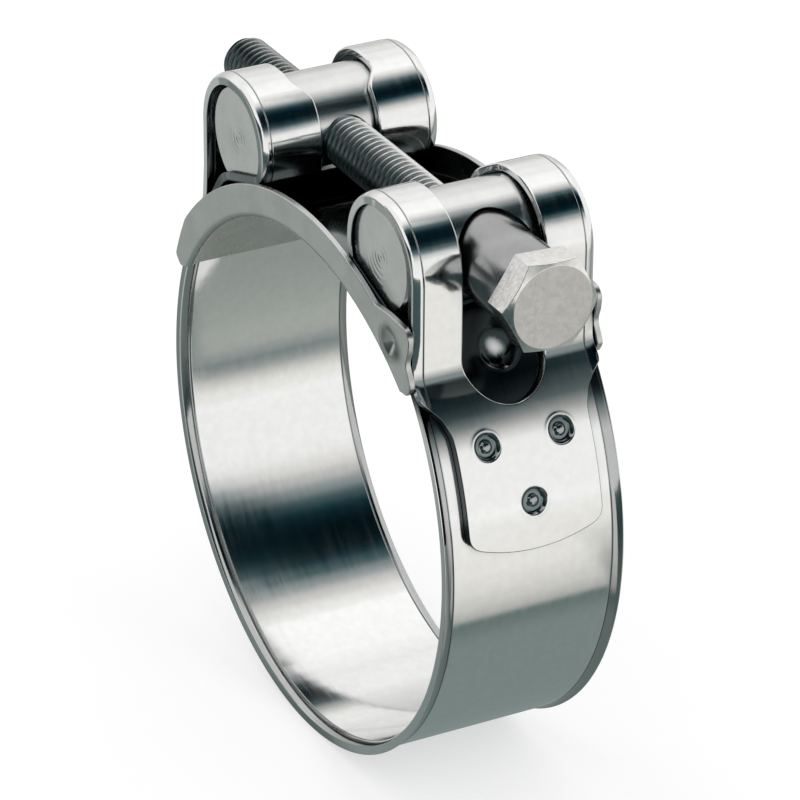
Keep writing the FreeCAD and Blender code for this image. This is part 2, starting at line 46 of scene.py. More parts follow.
# -------- sizes in mm, as in the CAD model
THICK = 1.0  # the band's sheet
HALF = 11.0  # half the band's width
BORE = 31.75
WALL = BORE + THICK
MID = BORE + THICK / 2
TAB = WALL + THICK
RISE, STRIP = 0.45, 1.2  # height and width of the lip along each edge
LEAVE = math.radians(41.0)  # where the strip leaves the ring
LAND = math.radians(38.0)  # where the tab lands on the ring
AX, AZ = 17.0, WALL + 0.45  # the axis of a cross bar; AZ is the bolt's height too
TR, TL = 6.2, 20.4  # radius and length of a cross bar
GAP = 0.05  # between a bar and its wrap
INNER = TR + GAP
TILT = math.radians(72.4)  # of the bar's flat
SLEEVE_R, SLEEVE_L = 4.75, 13.2
SEAT_X = AX + TR - 4.7  # where the sleeve sits in the plain bar
FLAT = (SLEEVE_R + 0.18) * math.sin(TILT) - (SEAT_X - AX) * math.cos(TILT)  # from a bar's axis to the band
LEG = AX + TR + 1.3  # inner face of the leg
BOLT_R = 3.0
HOLE_R = BOLT_R + 0.2

# -------- how finely the sheets are meshed
EDGE_R = 0.13  # roundness of an outer edge
HOLE_EDGE_R = EDGE_R * 2.2
EDGE_TURNS = np.radians([0, 30, 60, 90])
WELD = 2e-4  # points closer than this are one
NORMAL_STEPS = 20  # normals that agree to one part in this are one
ON_SEAM = 1e-9  # points with a smaller s lie on the mirror plane
CLEAR = 0.13  # grid points keep this far from a border
SEAM_CLEAR = 0.05  # and this far on the mirror plane
MARK_CLEAR = 0.12  # and this far from a mark
NUDGE = 1e-7  # keeps a grid point off the line of a border
PROBE, PROBE_H = 0.01, 0.1  # steps along and off a sheet that give its directions
CDT_EPS = 1e-6  # the triangulation's tolerance
BATCH = 500  # grid points measured at a time
STRAIGHT = 0.02  # a corner that turns by less (radians) stays as it is
SHARE = 0.49  # the most of a side that one rounded corner takes


def arr(points):
    return np.array(points, float)


def new_object(name, data):
    obj = bpy.data.objects.new(name, data)
    bpy.context.scene.collection.objects.link(obj)
    return obj


# -------- lines and polygons
def polar(r, a):
    """The point at radius r and angle a."""
    return r * math.cos(a), r * math.sin(a)


def lengths_along(p):
    """The length of a polyline up to each of its points."""
    return np.concatenate([[0], np.cumsum(np.hypot(*(p[1:] - p[:-1]).T))])


def eased(a, corner, b, t):
    """The point at t on a smooth curve from a to b that heads for the corner."""
    return a * (1 - t) ** 2 + corner * 2 * t * (1 - t) + b * t * t


def resample(points, step):
    """Even points along an open polyline, with both its ends."""
    p = arr(points)
    s = lengths_along(p)
    n = max(1, int(math.ceil(s[-1] / step)))
    t = np.linspace(0, s[-1], n + 1)
    return np.stack([np.interp(t, s, p[:, 0]), np.interp(t, s, p[:, 1])], 1)


def rounded(points, radii, step, closed=True):
    """A polygon or an open line with its corners rounded, as evenly spaced points."""
    pts = [arr(p) for p in points]
    n = len(pts)
    out = []
    for i in range(n):
        if not closed and i in (0, n - 1):
            out.append(pts[i])
            continue
        a, b, c = pts[i - 1], pts[i], pts[(i + 1) % n]
        u, v = (a - b) / np.linalg.norm(a - b), (c - b) / np.linalg.norm(c - b)
        turn = math.pi - math.acos(max(-1, min(1, float(u @ v))))
        cut = radii[i] * math.tan(turn / 2) if turn > STRAIGHT else 0
        cut = min(cut, SHARE * np.linalg.norm(a - b), SHARE * np.linalg.norm(c - b))
        if cut < 1e-3:
            out.append(b)
            continue
        pieces = max(2, int(turn * 8 / math.pi) + 2)
        out += [eased(b + u * cut, b, b + v * cut, t) for t in np.linspace(0, 1, pieces + 1)]
    if closed:
        out.append(out[0])
        return resample(out, step)[:-1]
    return resample(out, step)


def inward(loop, closed, material_left):
    """Unit normals of a polyline that point into the material."""
    p = arr(loop)
    if closed:
        t = np.roll(p, -1, 0) - np.roll(p, 1, 0)
    else:
        t = np.gradient(p, axis=0)
    t /= np.linalg.norm(t, axis=1)[:, None]
    n = np.stack([-t[:, 1], t[:, 0]], 1)
    return n if material_left else -n


def inside(points, poly):
    """Which of the points lie inside a polygon."""
    x, y = points[:, 0], points[:, 1]
    hit = np.zeros(len(points), bool)
    a, b = poly, np.roll(poly, -1, 0)
    for (x0, y0), (x1, y1) in zip(a, b):
        cross = (y0 > y) != (y1 > y)
        if y0 != y1:
            at = x0 + (y - y0) * (x1 - x0) / (y1 - y0)
            hit ^= cross & (x < at)
    return hit


def unit(v):
    return v / np.maximum(np.linalg.norm(v, axis=1), 1e-12)[:, None]


# The painted light and shade of each point, kept on the mesh.
def set_painted_light(mesh, values):
    mesh.attributes.new("painted_light", "FLOAT", "POINT").data.foreach_set("value", values.astype(np.float32))


# -------- one sheet of metal
class Patch:
    """Collects vertices, normals, painted shade values and faces of one mesh."""

    def __init__(self):
        self.v, self.n, self.w, self.f, self.count = [], [], [], [], 0

    def add(self, v, n, w=None):
        """Adds vertices and returns their numbers. Their painted shade value w is 1 where none is given."""
        at = self.count
        self.v.append(arr(v))
        self.n.append(unit(arr(n)))
        self.w.append(np.ones(len(v)) if w is None else arr(w))
        self.count += len(v)
        return np.arange(at, at + len(v))

    def faces(self, rows):
        self.f.extend([tuple(int(i) for i in r) for r in rows])

    def bridge(self, a, b, closed):
        """A strip of faces between two rows of vertices."""
        n = len(a)
        for i in range(n if closed else n - 1):
            j = (i + 1) % n
            self.f.append((int(a[i]), int(a[j]), int(b[j]), int(b[i])))

    def mirror_x(self):
        """Adds the mirror image in x = 0."""
        at = self.count
        v, n = np.concatenate(self.v), np.concatenate(self.n)
        self.v, self.n = [v, v * [-1, 1, 1]], [n, n * [-1, 1, 1]]
        self.w = self.w * 2
        self.f += [tuple(at + i for i in reversed(f)) for f in self.f]
        self.count *= 2

    def build(self, name, mat):
        v, n, w = np.concatenate(self.v), np.concatenate(self.n), np.concatenate(self.w)
        # Points closer than WELD take one place, so that the sheet has no cracks.
        tree = KDTree(len(v))
        for i, p in enumerate(v):
            tree.insert(p, i)
        tree.balance()
        v = v[[min(hit[1] for hit in tree.find_range(p, WELD)) for p in v]]
        # Those with the same normal are one vertex.
        keys = np.round(np.hstack([v / WELD, n * NORMAL_STEPS])).astype(np.int64)
        number, keep, ids = {}, [], []
        for i, key in enumerate(map(tuple, keys)):
            if key not in number:
                number[key] = len(keep)
                keep.append(i)
            ids.append(number[key])
        v, n, w = v[keep], n[keep], w[keep]
        faces = []
        for f in self.f:
            g = list(dict.fromkeys(ids[i] for i in f))
            if len(g) < 3:
                continue
            p = v[g]
            face_n = np.cross(p[1] - p[0], p[2] - p[0])
            if len(g) == 4:
                face_n = face_n + np.cross(p[2] - p[0], p[3] - p[0])
            if face_n @ n[g].sum(0) < 0:
                g.reverse()
            faces.append(g)
        # A face that shares no edge with just one other face is a stray sliver.
        place = np.unique(np.round(v / WELD).astype(np.int64), axis=0, return_inverse=True)[1].ravel().tolist()
        edges = [[frozenset((place[a], place[b])) for a, b in zip(g, g[1:] + g[:1])] for g in faces]
        uses = Counter(edge for face in edges for edge in face)
        faces = [g for g, face in zip(faces, edges) if any(uses[edge] == 2 for edge in face)]
        mesh = bpy.data.meshes.new(name)
        mesh.from_pydata((v * MM).tolist(), [], faces)
        mesh.validate(verbose=False)
        mesh.shade_smooth()
        mesh.normals_split_custom_set_from_vertices(n.tolist())
        set_painted_light(mesh, w)
        mesh.materials.append(mat)
        return new_object(name, mesh)


def sheet(patch, place, half, outer, holes, s_lines, v_lines, lift, painted_light, marks=(), open_end=False):
    """A bent sheet, half its thickness to each side of its middle surface.

    place(s, v, h) gives the point at height h over the middle surface. outer is a polygon of (s, v)
    points, or an open line whose two ends lie on s = 0. The mesh has the points of a grid, and round
    each mark the mark's own points, given with their centre and reach. lift(s, v, side) is added to
    the height; side is +1 or -1. The function given after lift paints light and shade: for (s, v, side)
    it is 1 where nothing is painted and less where painted shade darkens the metal; side is 0 on the
    cut edge of an open line."""

    def height(sv, side):
        return side * half + lift(sv[:, 0], sv[:, 1], side)

    def point(sv, h):
        return place(sv[:, 0], sv[:, 1], h)

    def frame_at(sv, side):
        """Unit vectors along s and v, and the outward normal."""
        along = []
        for step in ([PROBE, 0], [0, PROBE]):
            a, b = sv - step, sv + step
            along.append(unit(point(b, height(b, side)) - point(a, height(a, side))))
        up = unit(point(sv, np.full(len(sv), PROBE_H)) - point(sv, np.zeros(len(sv))))
        n = unit(np.cross(*along))
        n *= np.sign((n * up).sum(1))[:, None]
        return along[0], along[1], n * side

    rims, borders = [], []
    for loop, closed, is_outer in [(arr(outer), not open_end, True)] + [(arr(h), True, False) for h in holes]:
        s, v = loop.T
        area = np.sum(s * np.roll(v, -1) - v * np.roll(s, -1))
        m = inward(loop, closed, (area > 0) == is_outer)
        if not closed:
            m[0], m[-1] = [0, np.sign(m[0][1])], [0, np.sign(m[-1][1])]
        radius = EDGE_R if is_outer else HOLE_EDGE_R
        border = loop + m * radius
        if not closed:
            border[0][0] = border[-1][0] = 0.0
        rims.append((loop, closed, m, radius))
        borders.append(border)

    def on_sheet(p, nudge=0.0):
        ok = inside(p + nudge, borders[0])
        for hole in borders[1:]:
            ok &= ~inside(p, hole)
        return ok

    grid = np.stack([g.ravel() for g in np.meshgrid(s_lines, v_lines, indexing="ij")], 1)
    plain_count = len(grid)
    grid = np.concatenate([grid] + [arr(spots) for spots, centre, reach in marks])
    ok = on_sheet(grid, NUDGE)
    if open_end:
        ok = np.where(np.abs(grid[:, 0]) < ON_SEAM, np.abs(grid[:, 1]) < abs(borders[0][0][1]) - SEAM_CLEAR, ok)
    for spots, centre, reach in marks:
        near = np.hypot(*(grid - centre).T) < reach + MARK_CLEAR
        near[plain_count:] = False
        ok &= ~near
    grid = grid[ok]
    solid = np.concatenate(borders)
    parts = np.array_split(grid, len(grid) // BATCH + 1)
    far = np.concatenate([np.hypot(*(part[:, None] - solid).transpose(2, 0, 1)).min(1) > CLEAR for part in parts])
    if open_end:
        far |= np.abs(grid[:, 0]) < ON_SEAM
    points = np.concatenate([solid, grid[far]])
    edges, at = [], 0
    for loop, closed, m, radius in rims:
        n = len(loop)
        edges += [(at + i, at + (i + 1) % n) for i in range(n if closed else n - 1)]
        at += n
    if open_end:
        on_seam = [i for i in range(len(points)) if abs(points[i][0]) < ON_SEAM]
        on_seam.sort(key=lambda i: points[i][1])
        edges += list(zip(on_seam[:-1], on_seam[1:]))
    got = delaunay_2d_cdt([Vector(p) for p in points], edges, [], 0, CDT_EPS)
    flat = arr([tuple(p) for p in got[0]])
    tris = np.array([t for t in got[2] if len(t) == 3])
    tris = tris[on_sheet(flat[tris].mean(1))]
    for side in (1, -1):
        n = frame_at(flat, side)[2]
        ids = patch.add(point(flat, height(flat, side)), n, painted_light(flat[:, 0], flat[:, 1], side))
        patch.faces(ids[tris])
    # The cut edges are rolled over from one face to the other.
    for loop, closed, m, radius in rims:
        chain = []
        for side, turns in ((1, EDGE_TURNS), (-1, EDGE_TURNS[::-1])):
            for f in turns:
                q = loop + m * (radius * (1 - math.sin(f)))
                if not closed:
                    q[0][0] = q[-1][0] = 0.0
                ts, tv, n = frame_at(q, side)
                out = -unit(m[:, :1] * ts + m[:, 1:] * tv)
                h = height(q, side) - side * radius * (1 - math.cos(f))
                shade = None if closed else painted_light(q[:, 0], q[:, 1], 0)
                chain.append(patch.add(point(q, h), n * math.cos(f) + out * math.sin(f), shade))
        for a, b in zip(chain[:-1], chain[1:]):
            patch.bridge(a, b, closed)


# -------- course of the band, from the ring's bottom to a tab
def on_flat(depth, along):
    """The point at a depth from the bar's axis and a way along its flat."""
    return arr([
        AX - depth * math.cos(TILT) - along * math.sin(TILT),
        AZ - depth * math.sin(TILT) + along * math.cos(TILT)])


def arc(cx, cz, r, a0, a1, step=0.02):
    n = max(2, int(abs(a1 - a0) / step))
    a = np.linspace(a0, a1, n + 1)
    return np.stack([cx + r * np.cos(a), cz + r * np.sin(a)], 1)


def course(parts, trims):
    """Joins lines and arcs, with each corner eased over its trim length."""
    line = parts[0]
    for nxt, trim in zip(parts[1:], trims):
        if trim <= 0:
            line = np.concatenate([line, nxt[1:]])
            continue
        line, nxt = cut_end(line, trim), cut_end(nxt[::-1], trim)[::-1]
        a, b = line[-1], nxt[0]
        ta, tb = line[-1] - line[-2], nxt[0] - nxt[1]
        k = np.linalg.solve(np.stack([ta, -tb], 1), b - a)
        curve = eased(a, a + ta * k[0], b, np.linspace(0, 1, 25)[1:-1, None])
        line = np.concatenate([line, curve, nxt])
    return line


def cut_end(line, length):
    """A polyline shortened by a length at its end."""
    s = lengths_along(line)
    at = s[-1] - length
    k = int(np.searchsorted(s, at))
    t = (at - s[k - 1]) / (s[k] - s[k - 1])
    return np.concatenate([line[:k], [line[k - 1] * (1 - t) + line[k] * t]])


wrap_r = INNER + THICK / 2
flat_mid = FLAT + THICK / 2
leg_mid = LEG + THICK / 2
crown = AX + 1.0
turn_r = LEG - crown + THICK / 2
turn_z = AZ + INNER - (LEG - crown)
tab_r = WALL + THICK / 2
a_point = polar(MID, LEAVE)
b_point = on_flat(flat_mid, -4.6)
c_point = on_flat(flat_mid, math.sqrt(wrap_r ** 2 - flat_mid ** 2))
c_angle = math.atan2(c_point[1] - AZ, c_point[0] - AX) % (2 * math.pi)
land_z = (tab_r - leg_mid * math.cos(LAND)) / math.sin(LAND)
foot = (leg_mid, land_z)
touch = polar(tab_r, LAND)
line = course(
    [
        arc(0, 0, MID, -math.pi / 2, LEAVE, 0.01),
        resample([a_point, b_point], 0.2),
        resample([b_point, c_point], 0.2),
        arc(AX, AZ, wrap_r, c_angle, math.pi / 2),
        resample([(AX, AZ + wrap_r), (crown, AZ + wrap_r)], 0.2),
        arc(crown, turn_z, turn_r, math.pi / 2, 0),
        resample([(leg_mid, turn_z), foot], 0.2),
        resample([foot, touch], 0.1),
        arc(0, 0, tab_r, LAND, 0.0, 0.01),
    ],
    [1.2, 1.6, 0.9, 0, 0, 0, 1.0, 0],
)
keep_rows = np.concatenate([[True], np.hypot(*(line[1:] - line[:-1]).T) > 1e-4])
line = line[keep_rows]
tangent = unit(np.gradient(line, axis=0))
tangent[0] = [1, 0]
for _ in range(3):
    tangent[1:-1] = (tangent[:-2] + 2 * tangent[1:-1] + tangent[2:]) / 4
tangent = unit(tangent)
run = lengths_along(line)


def band_place(s, v, h):
    s = np.asarray(s, float)
    x, z = np.interp(s, run, line[:, 0]), np.interp(s, run, line[:, 1])
    tx, tz = np.interp(s, run, tangent[:, 0]), np.interp(s, run, tangent[:, 1])
    size = np.hypot(tx, tz)
    tx, tz = tx / size, tz / size
    x = np.where(s < 0, s, x)
    return np.stack([x + tz * h, np.asarray(v, float) + 0 * x, z - tx * h], 1)


def s_at(point):
    """The length along the band at the point of its middle line nearest to a point (x, z)."""
    d = np.hypot(line[:, 0] - point[0], line[:, 1] - point[1])
    return float(run[int(np.argmin(d))])


s_ring_end = s_at(a_point)
s_flat = s_at(b_point)
s_corner = s_at(c_point)
s_crown = s_at((AX, AZ + wrap_r))
s_leg = s_at((leg_mid, turn_z))
s_foot = s_at(foot)
s_land = s_at(touch)
down = run > s_leg
face_z = line[:, 1] + THICK / 2 * tangent[:, 0]
rising = (run > s_corner + 2) & (run < s_crown + 1)
face_x = line[:, 0] - THICK / 2 * tangent[:, 1]


def s_of_z(z):
    """The length along the band where the outer face of the leg or the tab is at a height."""
    return float(np.interp(z, face_z[down][::-1], run[down][::-1]))


def s_of_x(x):
    """The length along the band where the wrap's outer face is at x."""
    return float(np.interp(x, face_x[rising], run[rising]))


def z_of(degrees):
    """The height of the tab's face at an angle round the ring."""
    return TAB * math.sin(math.radians(degrees))


# -------- the tab and the slot, as lines on the strip
s_full, s_narrow = s_of_z(z_of(36.8)), s_of_z(z_of(30.6))  # the tab's shoulder
s_bow, s_end = s_of_z(z_of(5.8) + 1.7), s_of_z(z_of(5.8))  # its bowed end
TAB_HALF = 8.2
BOW_HALF = 6.6
side_a = [
    (0.0, HALF),
    (s_full - 1.2, HALF),
    (s_full - 0.2, HALF - 0.1),
    (s_full + 0.7, HALF - 0.9),
    (s_narrow - 1.5, TAB_HALF + 0.75),
    (s_narrow + 0.4, TAB_HALF + 0.08),
    (s_narrow + 1.6, TAB_HALF),
]
bow = [(s_bow + (s_end - s_bow) * (1 - (v / TAB_HALF) ** 2), v) for v in np.linspace(-BOW_HALF, BOW_HALF, 27)]
corner_in, corner_out = arr([s_bow - 1.4, TAB_HALF]), arr([bow[-1][0], BOW_HALF])
corner = arr([s_bow + 0.1, TAB_HALF])
side_b = side_a + [tuple(eased(corner_in, corner, corner_out, t)) for t in np.linspace(0, 1, 9)[:-1]]
outline = [(s, -v) for s, v in side_b] + bow + side_b[::-1]
shoulder_soft = [0.0] + [0.6] * (len(side_a) - 1)
outline_soft = shoulder_soft + [0.0] * (len(outline) - 2 * len(side_a)) + shoulder_soft[::-1]
band_outline = rounded(outline, outline_soft, 0.4, closed=False)

SLOT, NECK = SLEEVE_R + 0.25, BOLT_R + 0.5  # half the slot's width on the leg and through the flat
slot_turn = z_of(33.4) + SLOT
neck_run = (FLAT * math.sin(TILT) - BOLT_R - 0.33) / math.cos(TILT)
s_neck = s_at(on_flat(flat_mid, neck_run))
s_thin, s_wide = s_of_x(AX - (INNER + THICK) * 0.63), s_of_x(AX - (INNER + THICK) * 0.33)
s_turn = s_of_z(slot_turn)
round_end = [
    (s_of_z(slot_turn - SLOT * math.cos(math.radians(a))), SLOT * math.sin(math.radians(a)))
    for a in np.linspace(-80, 80, 33)]
neck_side = [(s_neck, NECK), (s_thin, NECK), (s_wide, SLOT), (s_turn, SLOT)]
hole = [(s, -v) for s, v in neck_side] + round_end + neck_side[::-1]
band_hole = rounded(hole, [0.8, 2.0, 2.0] + [0.0] * (len(hole) - 6) + [2.0, 2.0, 0.8], 0.3)

# -------- lips, grooves and pressed marks
LIP_R = (STRIP ** 2 + RISE ** 2) / (2 * RISE)
GROOVE = HALF - STRIP
GROOVE_DEPTH = 0.045
# The clinch points that hold the tab, as (s, v). Their tables are over the distance from the middle.
CLINCHES = [(s_land + tab_r * (LAND - math.radians(a)), v) for v, a in ((4.5, 26.7), (-4.5, 26.7), (0.0, 15.0))]
CLINCH_R = [0, 0.4, 0.52, 0.66, 0.85, 1.15, 1.36, 1.5, 1.62, 1.8, 1.95, 2.05, 2.25]
CLINCH_H = [-0.12, -0.12, -0.22, -0.4, -0.46, -0.46, -0.3, -0.06, 0.05, 0.03, 0.006, 0, 0]
# Painted shade round each clinch point: a dark ring with a lighter middle.
CLINCH_PAINTED_SHADE = [0.5, 0.45, 0.26, 0.42, 0.28, 0.24, 0.24, 0.45, 1, 1, 1, 1, 1]
# A shallow pressed pit in the strip behind each slot.
PIT_S, PIT_V = s_at((23.4, 22.7)), 0.25
PIT_R = [0, 0.3, 0.6, 0.9, 1.2, 1.5, 1.75, 1.95, 2.1, 2.2, 2.28, 2.36, 2.5, 2.75]
PIT_H = [0.5, 0.495, 0.47, 0.43, 0.37, 0.29, 0.2, 0.115, 0.045, 0.005, -0.02, -0.02, 0, 0]
PIT_EDGE, PIT_LEAN = 2.28, 0.9


def lip(v):
    """The rounded lip along each edge: how far it turns away at v, as part of its full rise."""
    t = np.clip(np.abs(v) - GROOVE, 0, STRIP)
    return (LIP_R - np.sqrt(LIP_R ** 2 - t ** 2)) / RISE


def near_groove(v, width):
    return np.exp(-(((np.abs(v) - GROOVE) / width) ** 2))


def from_pit(s, v):
    return np.hypot(s - PIT_S, v - PIT_V)


def pit_depth(s, v):
    """The pit is deepest below its middle."""
    lean = PIT_LEAN * (1 - np.minimum(from_pit(s, v) / PIT_EDGE, 1) ** 2)
    return np.interp(np.hypot(s - PIT_S + lean, v - PIT_V), PIT_R, PIT_H)


def pit_painted_highlight(s, v):
    """A painted reflection: bright on an oval spot in the middle and along the lower rim."""
    ds, dv = s - PIT_S - 0.25, v - PIT_V + 0.15
    from_spot = np.hypot((0.67 * dv - 0.74 * ds) / 1.25, (0.74 * dv + 0.67 * ds) / 0.8)
    spot = np.interp(from_spot, [0.3, 0.75, 1.2], [0.62, 0.42, 0.05])
    rim = np.exp(-(((from_pit(s, v) - 2.17) / 0.12) ** 2)) * np.clip((PIT_S - s) / 1.5, 0, 1)
    return np.maximum(spot, 0.7 * rim)


def band_lift(s, v, side):
    rim = np.interp(s, [s_foot - 5, s_foot - 1.5, s_land + 0.5], [1, 0.3, -1])
    out = RISE * rim * lip(v) - side * GROOVE_DEPTH * near_groove(v, 0.06)
    if side > 0:
        return out - pit_depth(s, v)
    for s_c, v_c in CLINCHES:
        out = out - np.interp(np.hypot(s - s_c, v - v_c), CLINCH_R, CLINCH_H)
    return out


def band_painted_light(s, v, side):
    """Painted shade and highlights of the band. Side 1 is the ring's outer face, side -1 the outer face of
    the leg and the tab. Side 0 is the cut edge, with painted shade where the tab lies on the ring."""
    if side == 0:
        return np.interp(
            s,
            [s_ring_end - 4, s_ring_end - 1, s_corner, s_corner + 3, s_full - 1, s_full + 1],
            [1, 0.12, 0.12, 1, 1, 0.1])
    # Painted shade: a dark line along each groove.
    out = 1 - 0.78 * near_groove(v, 0.08)
    # Painted shade: the lips along the ring part are darker.
    ring_part = np.interp(s, [s_ring_end - 3, s_ring_end - 1], [1, 0])
    out = out * (1 - 0.42 * ring_part * np.clip((np.abs(v) - GROOVE) / 0.1, 0, 1))
    if side > 0:
        # The strip below the bar is out of the light.
        hidden = np.interp(s, [s_ring_end - 9, s_ring_end - 5, s_corner - 1, s_corner + 2], [0, 1, 1, 0])
        shade = 1 - 0.93 * hidden
        # Painted reflection: a bright spot and rim inside the pit.
        in_pit = np.interp(from_pit(s, v), [2.2, 2.36], [1, 0])
        return out * (shade + (pit_painted_highlight(s, v) - shade) * in_pit)
    # Painted shade: the lips under the bar are dark.
    under = np.interp(s, [s_ring_end - 3, s_ring_end, s_corner, s_corner + 2], [0, 1, 1, 0])
    out = out * (1 - 0.8 * under * (np.abs(v) > GROOVE))
    # Painted shade: the bend above the tab is dark.
    out = out * np.interp(
        s,
        [s_foot - 1.2, s_foot - 0.1, s_land, s_land + 2.9, s_land + 4.4, s_land + 6.4],
        [1, 0.3, 0.22, 0.22, 0.5, 1])
    # Painted shade round each clinch point.
    for s_c, v_c in CLINCHES:
        out = out * np.interp(np.hypot(s - s_c, v - v_c), CLINCH_R, CLINCH_PAINTED_SHADE)
    return out


# Grid lines: from each station to the next, with this many points.
stations = [
    (0, 1), (s_ring_end - 2, 90), (s_ring_end + 2, 24), (s_flat - 2, 8), (s_flat + 2, 20), (s_corner - 1.2, 16),
    (s_corner + 1.2, 20), (s_leg, 110), (s_foot - 1.5, 12), (s_land + 0.5, 26), (s_end + 1, 34)]
s_grid = np.concatenate([[0.0]] + [np.linspace(a, b, n)[1:] for (a, _), (b, n) in zip(stations[:-1], stations[1:])])
v_grid = np.array([
    0, 1.3, 2.6, 3.9, 5.2, 6.5, 7.6, 8.6, 9.3, 9.6, 9.68, 9.74, 9.77, 9.8, 9.83, 9.86, 9.92, 10.0, 10.2, 10.4, 10.6,
    10.75])
v_grid = np.concatenate([-v_grid[:0:-1], v_grid])
marks = []
for centre, radii, spokes in [(clinch, CLINCH_R, 40) for clinch in CLINCHES] + [((PIT_S, PIT_V), PIT_R, 64)]:
    around = np.linspace(0, 2 * math.pi, spokes, endpoint=False)
    spots = [arr(centre) + polar(r, a) for r in radii[1:] for a in around]
    marks.append(([centre] + spots, arr(centre), radii[-1]))


# -------- materials
def material(name):
    mat = bpy.data.materials.new(name)
    mat.use_nodes = True
    tree = mat.node_tree
    tree.nodes.clear()
    return mat, tree


def node(tree, kind, inputs=(), **settings):
    """A new node. Each of the inputs given gets a constant or the output of another node."""
    made = tree.nodes.new(kind)
    for name, value in settings.items():
        setattr(made, name, value)
    for name, value in dict(inputs).items():
        if isinstance(value, bpy.types.NodeSocket):
            tree.links.new(value, made.inputs[name])
        else:
            made.inputs[name].default_value = value
    return made


def calc(tree, kind, operation, *values):
    return node(tree, kind, enumerate(values), operation=operation)


def map_range(tree, value, source, target=(0.0, 1.0)):
    return node(tree, "ShaderNodeMapRange", {
        "Value": value, "From Min": source[0], "From Max": source[1], "To Min": target[0], "To Max": target[1],
    }).outputs[0]


def ramp(tree, value, stops):
    """A colour for the value, from (position, colour) stops."""
    made = node(tree, "ShaderNodeValToRGB", {0: value})
    elements = made.color_ramp.elements
    while len(elements) < len(stops):
        elements.new(0.5)
    for k, (at, colour) in enumerate(stops):
        elements[k].position = at
    for k, (at, colour) in enumerate(stops):
        elements[k].color = (*colour, 1)
    return made.outputs[0]


def noise(tree, scale, detail, stretch=(1, 1, 1)):
    coord = node(tree, "ShaderNodeTexCoord").outputs["Object"]
    mapped = node(tree, "ShaderNodeMapping", {"Vector": coord, "Scale": stretch}).outputs[0]
    inputs = {"Vector": mapped, "Scale": scale, "Detail": detail, "Roughness": 0.55}
    return node(tree, "ShaderNodeTexNoise", inputs).outputs["Fac"]


def product(tree, a, b):
    inputs = {"Factor": 1.0, "A": a, "B": b}
    return node(tree, "ShaderNodeMix", inputs, data_type="RGBA", blend_type="MULTIPLY").outputs["Result"]


def steel(
    name, colours, rough, grain, bump, stretch=(1, 1, 1), mottle=300, corner_shade=(5.0, 0.1), has_painted_light=False, dark_gloss=False
):
    """Metal with cloudy colour, uneven gloss, a fine grain along the rolling direction, and painted shade in its
    corners.

    rough is the least and the most roughness, grain and mottle are noise scales, bump is a strength and
    a depth in mm, and corner_shade is a reach in mm and the brightness that the painted shade leaves in
    corners. has_painted_light metal is darkened by the light and shade painted on the mesh, and with
    dark_gloss also smoother where that painted shade is dark."""
    mat, tree = material(name)
    tint = ramp(tree, noise(tree, mottle, 4.0), [(0.35, colours[0]), (0.65, colours[1])])
    # Painted shade: ambient occlusion darkens the colour in corners and between parts.
    corner_light = node(tree, "ShaderNodeAmbientOcclusion", {"Distance": corner_shade[0] * MM}, samples=8)
    corner_shade_colour = (corner_shade[1] * 0.6, corner_shade[1], corner_shade[1] * 1.1)
    corner_shading = ramp(tree, corner_light.outputs["AO"], [(0.1, corner_shade_colour), (0.78, (1, 1, 1))])
    colour = product(tree, tint, corner_shading)
    # Light and shade painted on the mesh darken the colour further.
    if has_painted_light:
        painted_light_fac = node(tree, "ShaderNodeAttribute", attribute_name="painted_light").outputs["Fac"]
        shade = [(0.0, (0, 0, 0)), (0.25, (0.205, 0.25, 0.26)), (0.5, (0.49, 0.5, 0.5)), (1.0, (1, 1, 1))]
        colour = product(tree, colour, ramp(tree, painted_light_fac, shade))
    streak = noise(tree, grain, 5.0, stretch)
    gloss = map_range(tree, streak, (0.3, 0.7), rough)
    if dark_gloss:
        gloss = calc(tree, "ShaderNodeMath", "MULTIPLY", gloss, painted_light_fac).outputs[0]
    relief = node(tree, "ShaderNodeBump", {"Strength": bump[0], "Distance": bump[1] * MM, "Height": streak})
    shader = node(tree, "ShaderNodeBsdfPrincipled", {
        "Metallic": 1.0, "Base Color": colour, "Roughness": gloss, "Normal": relief.outputs[0]})
    node(tree, "ShaderNodeOutputMaterial", {0: shader.outputs[0]})
    return mat, tree, shader


band_mat = steel(
    "band_steel", ((0.82, 0.825, 0.815), (0.86, 0.86, 0.85)), (0.08, 0.13), 500, (0.06, 0.002),
    (0.25, 3, 0.25), mottle=900, has_painted_light=True)[0]
bridge_mat = steel(
    "bridge_steel", ((0.54, 0.555, 0.54), (0.61, 0.62, 0.6)), (0.24, 0.34), 700, (0.06, 0.003),
    (0.4, 1, 0.4), corner_shade=(9.0, 0.2), has_painted_light=True, dark_gloss=True)[0]
sleeve_mat = steel(
    "sleeve_steel", ((0.355, 0.36, 0.36), (0.42, 0.42, 0.415)), (0.18, 0.26), 900, (0.2, 0.006), (3, 0.3, 3))[0]
head_mat = steel(
    "bolt_head_steel", ((0.78, 0.765, 0.735), (0.9, 0.885, 0.85)), (0.16, 0.28), 2600, (0.3, 0.015),
    mottle=1500, corner_shade=(2.0, 0.5), has_painted_light=True)[0]
thread_mat = steel(
    "thread_steel", ((0.84, 0.845, 0.82), (0.93, 0.92, 0.89)), (0.26, 0.38), 1200, (0.3, 0.01),
    corner_shade=(1.3, 0.5), has_painted_light=True)[0]


